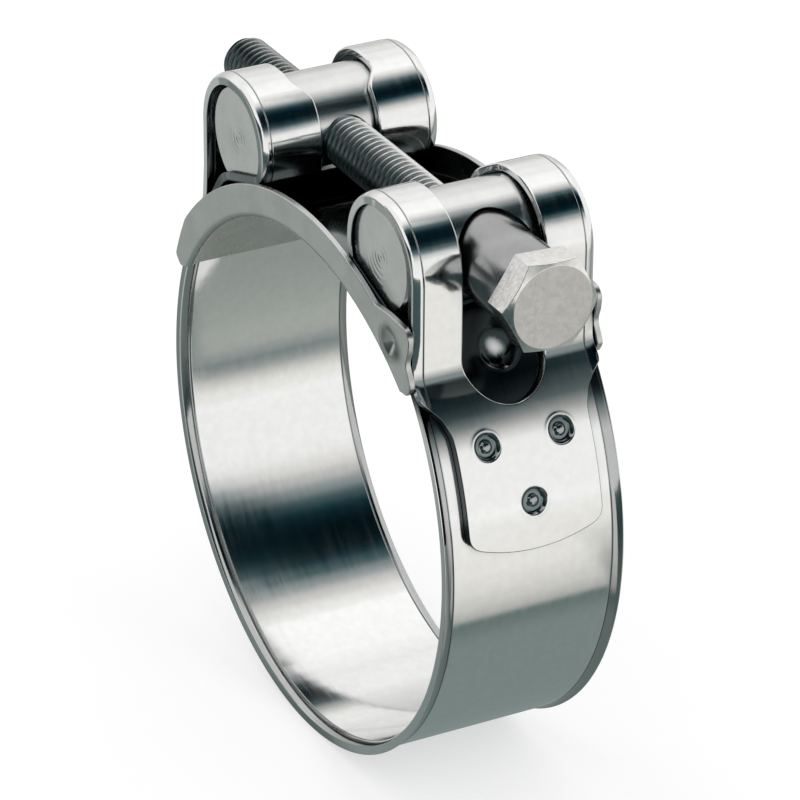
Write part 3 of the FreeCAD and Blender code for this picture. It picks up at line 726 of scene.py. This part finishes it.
def turned_steel(name, side):
    """Bar steel with fine turning rings about the bar's axis on its ends."""
    mat, tree, shader = steel(
        name, ((0.7, 0.7, 0.69), (0.76, 0.76, 0.75)), (0.16, 0.24), 900, (0.2, 0.006), (3, 0.15, 3), corner_shade=(1.0, 0.3))
    coord = node(tree, "ShaderNodeTexCoord").outputs["Object"]
    from_axis = calc(tree, "ShaderNodeVectorMath", "SUBTRACT", coord, (side * AX * MM, 0, AZ * MM)).outputs[0]
    flat_xz = calc(tree, "ShaderNodeVectorMath", "MULTIPLY", from_axis, (1, 0, 1)).outputs[0]
    radius = calc(tree, "ShaderNodeVectorMath", "LENGTH", flat_xz).outputs["Value"]
    rings = node(
        tree, "ShaderNodeTexWave", {"Vector": flat_xz, "Scale": 460, "Distortion": 2.0, "Detail": 2.0},
        wave_type="RINGS", rings_direction="Y")
    fade = map_range(tree, radius, (0.3 * MM, 4.0 * MM), (1.0, 0.0))
    split = node(tree, "ShaderNodeSeparateXYZ", {0: node(tree, "ShaderNodeNewGeometry").outputs["Normal"]})
    on_end = calc(tree, "ShaderNodeMath", "ABSOLUTE", split.outputs["Y"]).outputs[0]
    height = calc(tree, "ShaderNodeMath", "MULTIPLY", rings.outputs["Fac"], fade).outputs[0]
    masked = calc(tree, "ShaderNodeMath", "MULTIPLY", height, on_end).outputs[0]
    grain = shader.inputs["Normal"].links[0].from_socket
    relief = node(tree, "ShaderNodeBump", {"Strength": 1.0, "Distance": 0.05 * MM, "Height": masked, "Normal": grain})
    tree.links.new(relief.outputs[0], shader.inputs["Normal"])
    return mat


# -------- band
patch = Patch()
sheet(
    patch, band_place, THICK / 2, band_outline, [band_hole], s_grid, v_grid, band_lift, band_painted_light, marks,
    open_end=True)
patch.mirror_x()
band = patch.build("band_sheet", band_mat)
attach(band, "clamp")
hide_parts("band")


# -------- bridge
def circle_through(p, q, r):
    """Centre and radius of the circle through three points."""
    m = 2 * arr([[q[0] - p[0], q[1] - p[1]], [r[0] - p[0], r[1] - p[1]]])
    k = arr([
        q[0] ** 2 + q[1] ** 2 - p[0] ** 2 - p[1] ** 2,
        r[0] ** 2 + r[1] ** 2 - p[0] ** 2 - p[1] ** 2])
    c = np.linalg.solve(m, k)
    return c[0], c[1], math.hypot(p[0] - c[0], p[1] - c[1])


BT = 0.7  # the bridge's sheet
DIP = 3.45  # how far its middle stands inside the bore's circle
end_r = BORE - 0.05 - BT
tail = polar(end_r, math.radians(155))
held = polar(end_r, math.radians(40.5))
bx, bz, br = circle_through(tail, (0, BORE - DIP), held)
FLANGE_Y = HALF + 0.1 + BT / 2
BEND = 0.55
web_mid = br + BT / 2
rim = br + 3.95  # top edge of the side walls
v_flat = FLANGE_Y - BEND
v_bend = v_flat + BEND * math.pi / 2
held_a = math.atan2(held[1] - bz, held[0] - bx)
tail_a = math.atan2(tail[1] - bz, tail[0] - bx)
s_tail = (tail_a - held_a) * web_mid


def section(v):
    """Across the bridge: sideways place, distance from the arc's centre, and the normal of both."""
    a = np.abs(v)
    sign = np.sign(v)
    t = np.clip((a - v_flat) / BEND, 0, math.pi / 2)
    y = np.minimum(a, v_flat) + BEND * np.sin(t)
    r = web_mid + BEND * (1 - np.cos(t)) + np.maximum(a - v_bend, 0)
    return y * sign, r, -np.sin(t) * sign, np.cos(t)


def bridge_place(s, v, h):
    """s is the arc length from the held end, at the middle surface of the web."""
    y, r, ny, nr = section(np.asarray(v, float))
    a = held_a + np.asarray(s, float) / web_mid
    rr = r + nr * h
    return np.stack([bx + rr * np.cos(a), y + ny * h, bz + rr * np.sin(a)], 1)


def to_sv(x, z):
    """The place on the unrolled bridge of a point on its side wall."""
    a = math.atan2(z - bz, x - bx)
    r = math.hypot(x - bx, z - bz)
    return ((a - held_a) * web_mid, v_bend + (r - web_mid - BEND))


def rim_point(x):
    return x, bz + math.sqrt(rim * rim - (x - bx) ** 2)


lobe_x, lobe_z = held[0] + 2.3, held[1] + 8.4  # upper corner of the ear
side_line = [
    (held[0] + 0.3, held[1] + 0.55),
    (held[0] + 1.9, held[1] + 0.6),
    (held[0] + 2.75, held[1] + 1.9),
    (held[0] + 1.5, held[1] + 4.2),
    (lobe_x - 0.2, lobe_z - 2.6),
    (lobe_x, lobe_z - 0.9),
    (lobe_x - 0.9, lobe_z - 0.1),
    (lobe_x - 4.6, lobe_z + 0.1),
    rim_point(lobe_x - 8.0),
]
shear = rim_point(bx - rim * 0.753)
edge_a = math.atan2(side_line[-1][1] - bz, side_line[-1][0] - bx)
shear_a = math.atan2(shear[1] - bz, shear[0] - bx)
side_sv = [to_sv(*p) for p in side_line]
side_sv += [((a - held_a) * web_mid, v_bend + rim - web_mid - BEND) for a in np.linspace(edge_a, shear_a, 60)[1:]]
side_sv += [to_sv(tail[0] - 3.1, tail[1] + 0.2), to_sv(tail[0] - 1.8, tail[1] - 0.8)]
half_outline = [(0.0, v_flat - 0.4)] + side_sv + [(s_tail, v_flat - 0.4)]
half_soft = [0.5, 0.3, 0.9, 0.9, 1.2, 0.9, 0.9, 0.9, 6.0, 6.0] + [0.0] * 58 + [0.9, 0.7, 0.5, 0.5]
bridge_outline = rounded(half_outline + [(s, -v) for s, v in half_outline[::-1]], half_soft + half_soft[::-1], 0.35)
dimple_s, dimple_v = to_sv(21.6, 25.6)
# Painted shade: the dark spot beside the dimple.
ear_s, ear_v = to_sv(23.0, 25.1)  # the dark spot beside the dimple


def from_dimple(s, v):
    return np.hypot(s - dimple_s, np.abs(v) - dimple_v)


def bridge_lift(s, v, side):
    if side > 0:
        return 0 * s
    r = from_dimple(s, v)
    return 0.6 * np.exp(-(r / 0.95) ** 2) - 0.14 * np.exp(-((r - 1.8) / 0.45) ** 2)


def bridge_painted_shade(s, v, side):
    """Painted shade: the top of the web is dark, and so are the ring round each dimple and the spot beside it."""
    if side > 0:
        return np.interp(np.abs(v), [v_flat - 0.5, v_flat + 0.6], [0.4, 1])
    from_spot = np.hypot(s - ear_s, np.abs(v) - ear_v)
    ring = 1 - 0.5 * np.exp(-((from_dimple(s, v) - 1.5) / 0.5) ** 2)
    return ring * (1 - 0.9 * np.exp(-(from_spot / 1.05) ** 2))


s_b = np.concatenate([np.linspace(-4, 10, 48), np.linspace(10, s_tail + 2, 90)[1:]])
v_half = np.concatenate([
    np.linspace(0, v_flat, 7), np.linspace(v_flat, v_bend, 8)[1:], v_bend + np.arange(0.3, 8, 0.35)])
v_b = np.concatenate([-v_half[:0:-1], v_half])
patch = Patch()
sheet(patch, bridge_place, BT / 2, bridge_outline, [], s_b, v_b, bridge_lift, bridge_painted_shade)
bridge = patch.build("bridge_sheet", bridge_mat)
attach(bridge, "clamp")
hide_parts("bridge")


# -------- turned pieces
def welded(verts, faces, dist):
    """A bmesh of vertices (in m) and faces, with vertices closer than dist made one."""
    mesh = bpy.data.meshes.new("draft")
    mesh.from_pydata(verts, [], faces)
    bm = bmesh.new()
    bm.from_mesh(mesh)
    bpy.data.meshes.remove(mesh)
    bmesh.ops.remove_doubles(bm, verts=bm.verts, dist=dist)
    return bm


def finished(bm, name):
    """The object of a bmesh, with its faces turned outward."""
    bmesh.ops.recalc_face_normals(bm, faces=bm.faces)
    mesh = bpy.data.meshes.new(name)
    bm.to_mesh(mesh)
    bm.free()
    return new_object(name, mesh)


def join_rows(bm, rows):
    """Closed strips of faces between rows of vertices."""
    for a, b in zip(rows[:-1], rows[1:]):
        for i in range(len(a)):
            j = (i + 1) % len(a)
            bm.faces.new((a[i], a[j], b[j], b[i]))


def about_bolt(x, r, a):
    """The point (in m) at x, at radius r and angle a about the bolt's axis."""
    return x * MM, r * math.cos(a) * MM, (AZ + r * math.sin(a)) * MM


def lathe(name, profile, mat, segments):
    """Turns a line of (x, radius) points about the bolt's axis."""
    verts = [about_bolt(x, r, 2 * math.pi * k / segments) for k in range(segments) for x, r in profile]
    n = len(profile)
    faces = []
    for k in range(segments):
        j = (k + 1) % segments
        faces += [(k * n + i, j * n + i, j * n + i + 1, k * n + i + 1) for i in range(n - 1)]
    obj = finished(welded(verts, faces, 1e-7), name)
    obj.data.materials.append(mat)
    return obj


def edge_arc(points, radius, steps=3):
    """Rounds the inner corners of an open profile."""
    p = [arr(q) for q in points]
    out = [p[0]]
    for i in range(1, len(p) - 1):
        u, v = p[i - 1] - p[i], p[i + 1] - p[i]
        cut = min(radius, 0.45 * np.linalg.norm(u), 0.45 * np.linalg.norm(v))
        u, v = u / np.linalg.norm(u), v / np.linalg.norm(v)
        out += [eased(p[i] + u * cut, p[i], p[i] + v * cut, t) for t in np.linspace(0, 1, steps + 1)]
    out.append(p[-1])
    return out


def apply_modifier(obj, name):
    bpy.context.view_layer.objects.active = obj
    bpy.ops.object.modifier_apply(modifier=name)


def finish_edges(obj, width, angle=30):
    bevel = obj.modifiers.new("bevel", "BEVEL")
    bevel.width = width * MM
    bevel.segments = 2
    bevel.limit_method = "ANGLE"
    bevel.angle_limit = math.radians(angle)
    bevel.harden_normals = True
    apply_modifier(obj, "bevel")


def cut_by(obj, tool):
    cut = obj.modifiers.new("cut", "BOOLEAN")
    cut.operation = "DIFFERENCE"
    cut.solver = "EXACT"
    cut.object = tool
    bpy.context.view_layer.update()
    apply_modifier(obj, "cut")
    bpy.data.objects.remove(tool)


def rod(radius, x0, x1):
    """A cylinder along the bolt's axis, to cut with."""
    bm = bmesh.new()
    bmesh.ops.create_cone(
        bm, cap_ends=True, segments=96, radius1=radius * MM, radius2=radius * MM, depth=(x1 - x0) * MM)
    turn = Matrix.Rotation(math.pi / 2, 4, "Y")
    bm.transform(Matrix.Translation(((x0 + x1) / 2 * MM, 0, AZ * MM)) @ turn)
    return finished(bm, "tool")


def bar(name, side, cuts):
    """A round bar across the band with its flat and its holes."""
    half = TL / 2 + 0.3  # the chamfered ends reach a little past those of the CAD model
    chamfer = 0.28
    flat_a = math.atan2(-math.sin(TILT), -math.cos(TILT))
    half_open = math.acos((FLAT - GAP) / TR)
    angles = np.linspace(flat_a + half_open, flat_a + 2 * math.pi - half_open, 170)
    ring = [polar(TR, a) for a in angles]
    bm = bmesh.new()
    rows = []
    for y, shrink in ((-half, chamfer), (-half + chamfer, 0), (half - chamfer, 0), (half, chamfer)):
        k = (TR - shrink) / TR
        rows.append([bm.verts.new((side * (AX + x * k) * MM, y * MM, (AZ + z * k) * MM)) for x, z in ring])
    join_rows(bm, rows)
    bm.faces.new(rows[0])
    bm.faces.new(rows[-1][::-1])
    obj = finished(bm, name)
    for radius, x0, x1 in cuts:
        cut_by(obj, rod(radius, x0, x1))
    obj.data.shade_smooth()
    obj.data.materials.clear()
    finish_edges(obj, 0.1)
    return obj


OUT_X, IN_X = 26, 8  # the cuts start and end clear of the bar
plain = bar("plain_bar", 1, [(HOLE_R, IN_X, OUT_X), (SLEEVE_R + 0.35, SEAT_X, OUT_X)])
tapped = bar("threaded_bar", -1, [(BOLT_R + 0.03, -OUT_X, -IN_X)])
for obj, node_name, side in ((plain, "plain_trunnion", 1), (tapped, "threaded_trunnion", -1)):
    obj.data.materials.append(turned_steel(node_name + "_steel", side))
    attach(obj, "clamp")
    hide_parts(node_name)

HEAD_X = SEAT_X + SLEEVE_L
tube = [(SEAT_X, HOLE_R), (SEAT_X, SLEEVE_R), (HEAD_X, SLEEVE_R), (HEAD_X, HOLE_R), (SEAT_X, HOLE_R)]
sleeve = lathe("sleeve_tube", edge_arc(tube, 0.25), sleeve_mat, 160)
sleeve.data.shade_smooth()
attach(sleeve, "sleeve")
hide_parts("spacer_sleeve")

# -------- bolt
HEAD_H = 4.0
TOP_X = HEAD_X + HEAD_H
HALF_FLATS = 5.0  # half the width across flats
TURN = math.radians(-2.7)
TOP_R = 4.72
TOP_SLOPE = math.tan(math.radians(30))
PITCH = 1.0
TIP = -36.8
END = HEAD_X + 1.0  # the shank ends inside the head
CORE = 2.38  # radius of the shank's two ends
COLUMNS = 48
CREST = [  # one turn's profile: place along the pitch and radius
    (0.0, 2.985), (0.07, 3.0), (0.14, 2.985), (0.28, 2.77), (0.42, 2.52), (0.5, 2.45), (0.6, 2.45), (0.7, 2.52),
    (0.86, 2.77)]


def hexagon(a):
    """The radius of the hexagon at angle a."""
    return HALF_FLATS / math.cos((a - TURN) % (math.pi / 3) - math.pi / 6)


def hex_head():
    corners = TURN + np.arange(6) * math.pi / 3
    between = TURN + np.linspace(0, 2 * math.pi, 120, endpoint=False) + 0.01
    angles = np.sort(np.concatenate([corners, between]))
    bm = bmesh.new()
    rows = [[bm.verts.new(about_bolt(*at(a), a)) for a in angles] for at in (
        lambda a: (HEAD_X, hexagon(a) - 0.5),
        lambda a: (HEAD_X + 0.28, hexagon(a)),
        lambda a: (TOP_X - (hexagon(a) - TOP_R) * TOP_SLOPE, hexagon(a)),
        lambda a: (TOP_X, TOP_R),
    )]
    join_rows(bm, rows)
    bm.faces.new(rows[-1])
    bm.faces.new(rows[0][::-1])
    obj = finished(bm, "bolt_head")
    obj.data.shade_smooth()
    obj.data.set_sharp_from_angle(angle=math.radians(20))
    obj.data.materials.append(head_mat)
    finish_edges(obj, 0.09, 18)
    return obj


def head_painted_shade(n, out_along):
    """Painted shade on a face of the head, by its normal and its place from the seat (0) to the top (1)."""
    if n.x > 0.95:
        return 0.6
    if n.x < -0.3:
        return 0.08
    if n.x > 0.4:
        return 0.95
    if n.z < -0.1:
        return 0.12 + 0.5 * out_along ** 1.3
    return 0.9 + 0.1 * out_along


def threaded_shank():
    """The thread runs as one helix: each column of points is the profile, shifted along by the turn."""
    turns = int(END - TIP) + 3
    verts = []
    for j in range(COLUMNS):
        for k in range(turns):
            for u, r in CREST:
                x = min(max(TIP - 1.2 + (k + u + j / COLUMNS) * PITCH, TIP), END)
                r = min(r, CORE + (x - TIP), CORE + (END - x))
                verts.append(about_bolt(x, r, 2 * math.pi * j / COLUMNS))
    length = turns * len(CREST)
    faces = []
    for j in range(COLUMNS):
        n = (j + 1) % COLUMNS
        shift = len(CREST) if n == 0 else 0
        for i in range(length - 1 - shift):
            a, b = j * length + i, n * length + i + shift
            faces.append((a, b, b + 1, a + 1))
    bm = welded(verts, faces, 2e-6)
    for x in (TIP, END):
        ring = [v for v in bm.verts if abs(v.co.x - x * MM) < 1e-7]
        bm.faces.new(sorted(ring, key=lambda v: math.atan2(v.co.z - AZ * MM, v.co.y)))
    obj = finished(bm, "bolt_shank")
    mesh = obj.data
    mesh.shade_smooth()
    mesh.set_sharp_from_angle(angle=math.radians(60))
    for edge in mesh.edges:
        if all(abs(mesh.vertices[i].co.x - TIP * MM) < 1e-7 for i in edge.vertices):
            edge.use_edge_sharp = True
    mesh.materials.append(thread_mat)
    return obj


def shank_painted_shade(co):
    """Painted shade: the thread is bright along its top and dark down its sides, less so beyond the tapped bar."""
    from_top = np.abs((np.degrees(np.arctan2(co[:, 2] - AZ, co[:, 1])) - 80 + 180) % 360 - 180)
    middle = np.interp(
        from_top, [0, 27, 37, 47, 54, 61, 71, 82, 87, 99], [1, 0.92, 0.5, 0.24, 0.16, 0.12, 0.13, 0.2, 0.24, 0.14])
    end = np.interp(from_top, [0, 27, 37, 47, 54, 61, 71, 82, 99], [0.6, 0.36, 0.18, 0.12, 0.12, 0.14, 0.2, 0.27, 0.34])
    return end + (middle - end) * np.interp(co[:, 0], [-24, -14], [0, 1])


head, shank = hex_head(), threaded_shank()
mesh = head.data
# Painted shade on each face of the head, stored at its corners.
head_shades = mesh.attributes.new("painted_light", "FLOAT", "CORNER").data
for poly in mesh.polygons:
    for loop in poly.loop_indices:
        x = mesh.vertices[mesh.loops[loop].vertex_index].co.x / MM
        head_shades[loop].value = head_painted_shade(poly.normal, (x - HEAD_X) / HEAD_H)
set_painted_light(shank.data, shank_painted_shade(arr([v.co for v in shank.data.vertices]) / MM))
for obj in (head, shank):
    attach(obj, "bolt")
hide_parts("bolt")
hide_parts("bolt")

# -------- camera, fitted to the ellipses and edges in the photo
scene = bpy.context.scene
camera = new_object("camera", bpy.data.cameras.new("camera"))
scene.camera = camera
right = Vector((0.4704, 0.882424, 0.00722))
below = Vector((0.410217, -0.211419, -0.887144))
ahead = Vector((-0.78131, 0.420274, -0.461437))
turned = Matrix((right, -below, -ahead)).transposed().to_4x4()
camera.matrix_world = Matrix.Translation((0.439732, -0.233936, 0.264891)) @ turned
FRAME_PX, FOCAL_PX, CENTRE_PX = 800, 5002.53, 412.15
camera.data.sensor_width = 36.0
camera.data.lens = 36.0 * FOCAL_PX / FRAME_PX
camera.data.shift_x = -(CENTRE_PX - FRAME_PX / 2) / FRAME_PX
camera.data.clip_start = 0.01

# -------- floor, studio cards and world
scene.view_settings.view_transform = "Standard"
FLOOR_Z, FLOOR_HALF = -33.3, 4000
SHEET_Z = -33.26


def stage_mesh(name, corners):
    mesh = bpy.data.meshes.new(name)
    mesh.from_pydata([tuple(c * MM for c in p) for p in corners], [], [tuple(range(len(corners)))])
    obj = new_object(name, mesh)
    mat, tree = material(name)
    mesh.materials.append(mat)
    return obj, tree


def card(name, corners, axis, stops):
    """A studio card that only the metal sees, with its brightness graded along an axis (positions in mm)."""
    obj, tree = stage_mesh(name, corners)
    obj.visible_camera = obj.visible_diffuse = obj.visible_shadow = obj.visible_transmission = False
    low_at, high_at = stops[0][0], stops[-1][0]
    coord = node(tree, "ShaderNodeTexCoord").outputs["Object"]
    along = calc(tree, "ShaderNodeVectorMath", "DOT_PRODUCT", coord, axis).outputs["Value"]
    span = map_range(tree, along, (low_at * MM, high_at * MM))
    light = ramp(tree, span, [((at - low_at) / (high_at - low_at), colour) for at, colour in stops])
    glow = node(tree, "ShaderNodeEmission", {"Color": light})
    node(tree, "ShaderNodeOutputMaterial", {0: glow.outputs[0]})


def grey(v):
    return (v, v, v)


floor_signs = ((-1, -1), (1, -1), (1, 1), (-1, 1))
tree = stage_mesh("floor", [(x * FLOOR_HALF, y * FLOOR_HALF, FLOOR_Z) for x, y in floor_signs])[1]
paint = node(tree, "ShaderNodeBsdfDiffuse", {"Color": (0.42, 0.42, 0.42, 1)})
glow = node(tree, "ShaderNodeEmission", {"Strength": 0.62})
both = node(tree, "ShaderNodeAddShader", {0: paint.outputs[0], 1: glow.outputs[0]})
node(tree, "ShaderNodeOutputMaterial", {0: both.outputs[0]})

# A dark flag high on the right: the dark stripes along the loops and inside the ring.
FLAG_TILT = math.radians(52)
flag_c = arr([185.0, 274.0])
flag_e = arr([-math.sin(FLAG_TILT), math.cos(FLAG_TILT)])
flag_shift = float(flag_c @ flag_e)


def flag(name, y0, y1, stops):
    (xa, za), (xb, zb) = flag_c + flag_e * stops[0][0], flag_c + flag_e * stops[-1][0]
    corners = [(xa, y0, za), (xb, y0, zb), (xb, y1, zb), (xa, y1, za)]
    card(name, corners, (flag_e[0], 0, flag_e[1]), [(at + flag_shift, c) for at, c in stops])


flag("card_flag_near", -160, 152, [
    (-230, grey(1.0)), (-197, (0.88, 0.87, 0.84)), (-170, (0.68, 0.7, 0.69)), (-145, (0.38, 0.43, 0.43)),
    (-122, (0.16, 0.21, 0.23)), (-98, (0.045, 0.085, 0.095)), (-72, (0.006, 0.026, 0.036)),
    (-35, (0.001, 0.008, 0.012)), (30, (0.001, 0.009, 0.015)), (54, (0.004, 0.02, 0.027)), (76, (0.02, 0.052, 0.06)),
    (99, (0.085, 0.13, 0.145)), (122, (0.35, 0.4, 0.41)), (147, (0.7, 0.72, 0.71)), (173, (0.9, 0.9, 0.88)),
    (203, grey(1.05))])
flag("card_flag_far", 152, 460, [
    (-215, grey(1.0)), (-175, (0.93, 0.92, 0.91)), (-146, (0.8, 0.785, 0.77)), (-118, (0.6, 0.6, 0.585)),
    (-91, (0.35, 0.385, 0.385)), (-65, (0.1, 0.16, 0.17)), (-40, (0.008, 0.043, 0.054)), (-15, (0.001, 0.013, 0.02)),
    (20, (0.0, 0.004, 0.005)), (85, (0.0, 0.006, 0.009)), (107, (0.004, 0.028, 0.04)), (138, (0.045, 0.1, 0.107)),
    (169, (0.26, 0.3, 0.31)), (201, (0.56, 0.555, 0.55)), (238, (0.82, 0.8, 0.78)),
    (279, (0.96, 0.97, 0.95)), (310, grey(1.05))])


# A grey sheet lies under and beside the clamp, and ends a little way out on the bolt head's side.
def sheet_card(name, outline_xy, stops):
    card(name, [(x, y, SHEET_Z) for x, y in outline_xy], (1, 0, 0), stops)


split_line = [
    (-400, 8), (-10, 9.5), (7, 13), (22, 17.5), (39, 23.5), (46, 25), (52, 28), (59, 29.5), (79, 36.5), (98, 44.5),
    (144, 62), (500, 190)]
sheet_card("card_floor_near", split_line + [(500, 2), (40, 2), (40, -40), (-400, -40)], [
    (-400, (0.24, 0.285, 0.28)), (-20, (0.23, 0.28, 0.27)), (8, (0.24, 0.29, 0.28)), (20, (0.215, 0.265, 0.26)),
    (46, (0.215, 0.265, 0.26)), (51, (0.19, 0.235, 0.23)), (56, (0.12, 0.175, 0.17)), (58.6, (0.13, 0.18, 0.17)),
    (59.6, (0.5, 0.5, 0.48)), (67, (0.66, 0.655, 0.62)), (79, (0.8, 0.79, 0.75)), (98, (0.9, 0.89, 0.86)),
    (144, (0.93, 0.92, 0.89)), (500, grey(1.0))])
sheet_card("card_floor_far", split_line[::-1] + [(-400, 460), (500, 460)], [
    (-400, (0.24, 0.27, 0.26)), (-10, (0.3, 0.33, 0.31)), (10, (0.36, 0.39, 0.365)), (24, (0.42, 0.445, 0.42)),
    (36, (0.4, 0.42, 0.4)), (46, (0.29, 0.325, 0.32)), (53, (0.2, 0.245, 0.245)), (62, (0.2, 0.25, 0.25)),
    (70, (0.3, 0.33, 0.325)), (84, (0.44, 0.45, 0.43)), (102, (0.6, 0.6, 0.58)), (125, (0.78, 0.77, 0.74)),
    (160, (0.9, 0.89, 0.86)), (350, (0.97, 0.96, 0.93)), (500, grey(1.0))])
sheet_card("card_floor_front", [(-420, -420), (500, -420), (500, 2), (40, 2), (40, -40), (-420, -40)], [
    (-420, (0.5, 0.53, 0.51)), (-40, (0.46, 0.49, 0.47)), (40, (0.16, 0.2, 0.2)), (120, (0.05, 0.085, 0.09)),
    (300, (0.08, 0.12, 0.12)), (500, (0.3, 0.33, 0.32))])
card("card_front", [(-450, -420, -33), (500, -420, -33), (500, -420, 420), (-450, -420, 420)], (0, 0, 1), [
    (-33, (0.24, 0.27, 0.26)), (60, (0.09, 0.12, 0.125)), (200, (0.035, 0.055, 0.06)), (420, (0.02, 0.035, 0.04))])

# A soft box overhead.
card("card_top", [(-420, -100, 480), (75, -100, 480), (75, 560, 480), (-420, 560, 480)], (1, 0, 0), [
    (-420, grey(0.95)), (-260, grey(1.1)), (0, grey(1.16)), (75, grey(1.06))])
card("card_left", [(-600, -300, -33), (-600, 700, -33), (-600, 700, 420), (-600, -300, 420)], (0, 0, 1), [
    (-33, grey(0.6)), (120, (0.68, 0.67, 0.65)), (300, grey(0.85)), (420, grey(1.0))])

world = bpy.data.worlds.new("world")
scene.world = world
world.use_nodes = True
back = world.node_tree.nodes["Background"]
back.inputs["Color"].default_value = (1, 1, 1, 1)
back.inputs["Strength"].default_value = 1.0
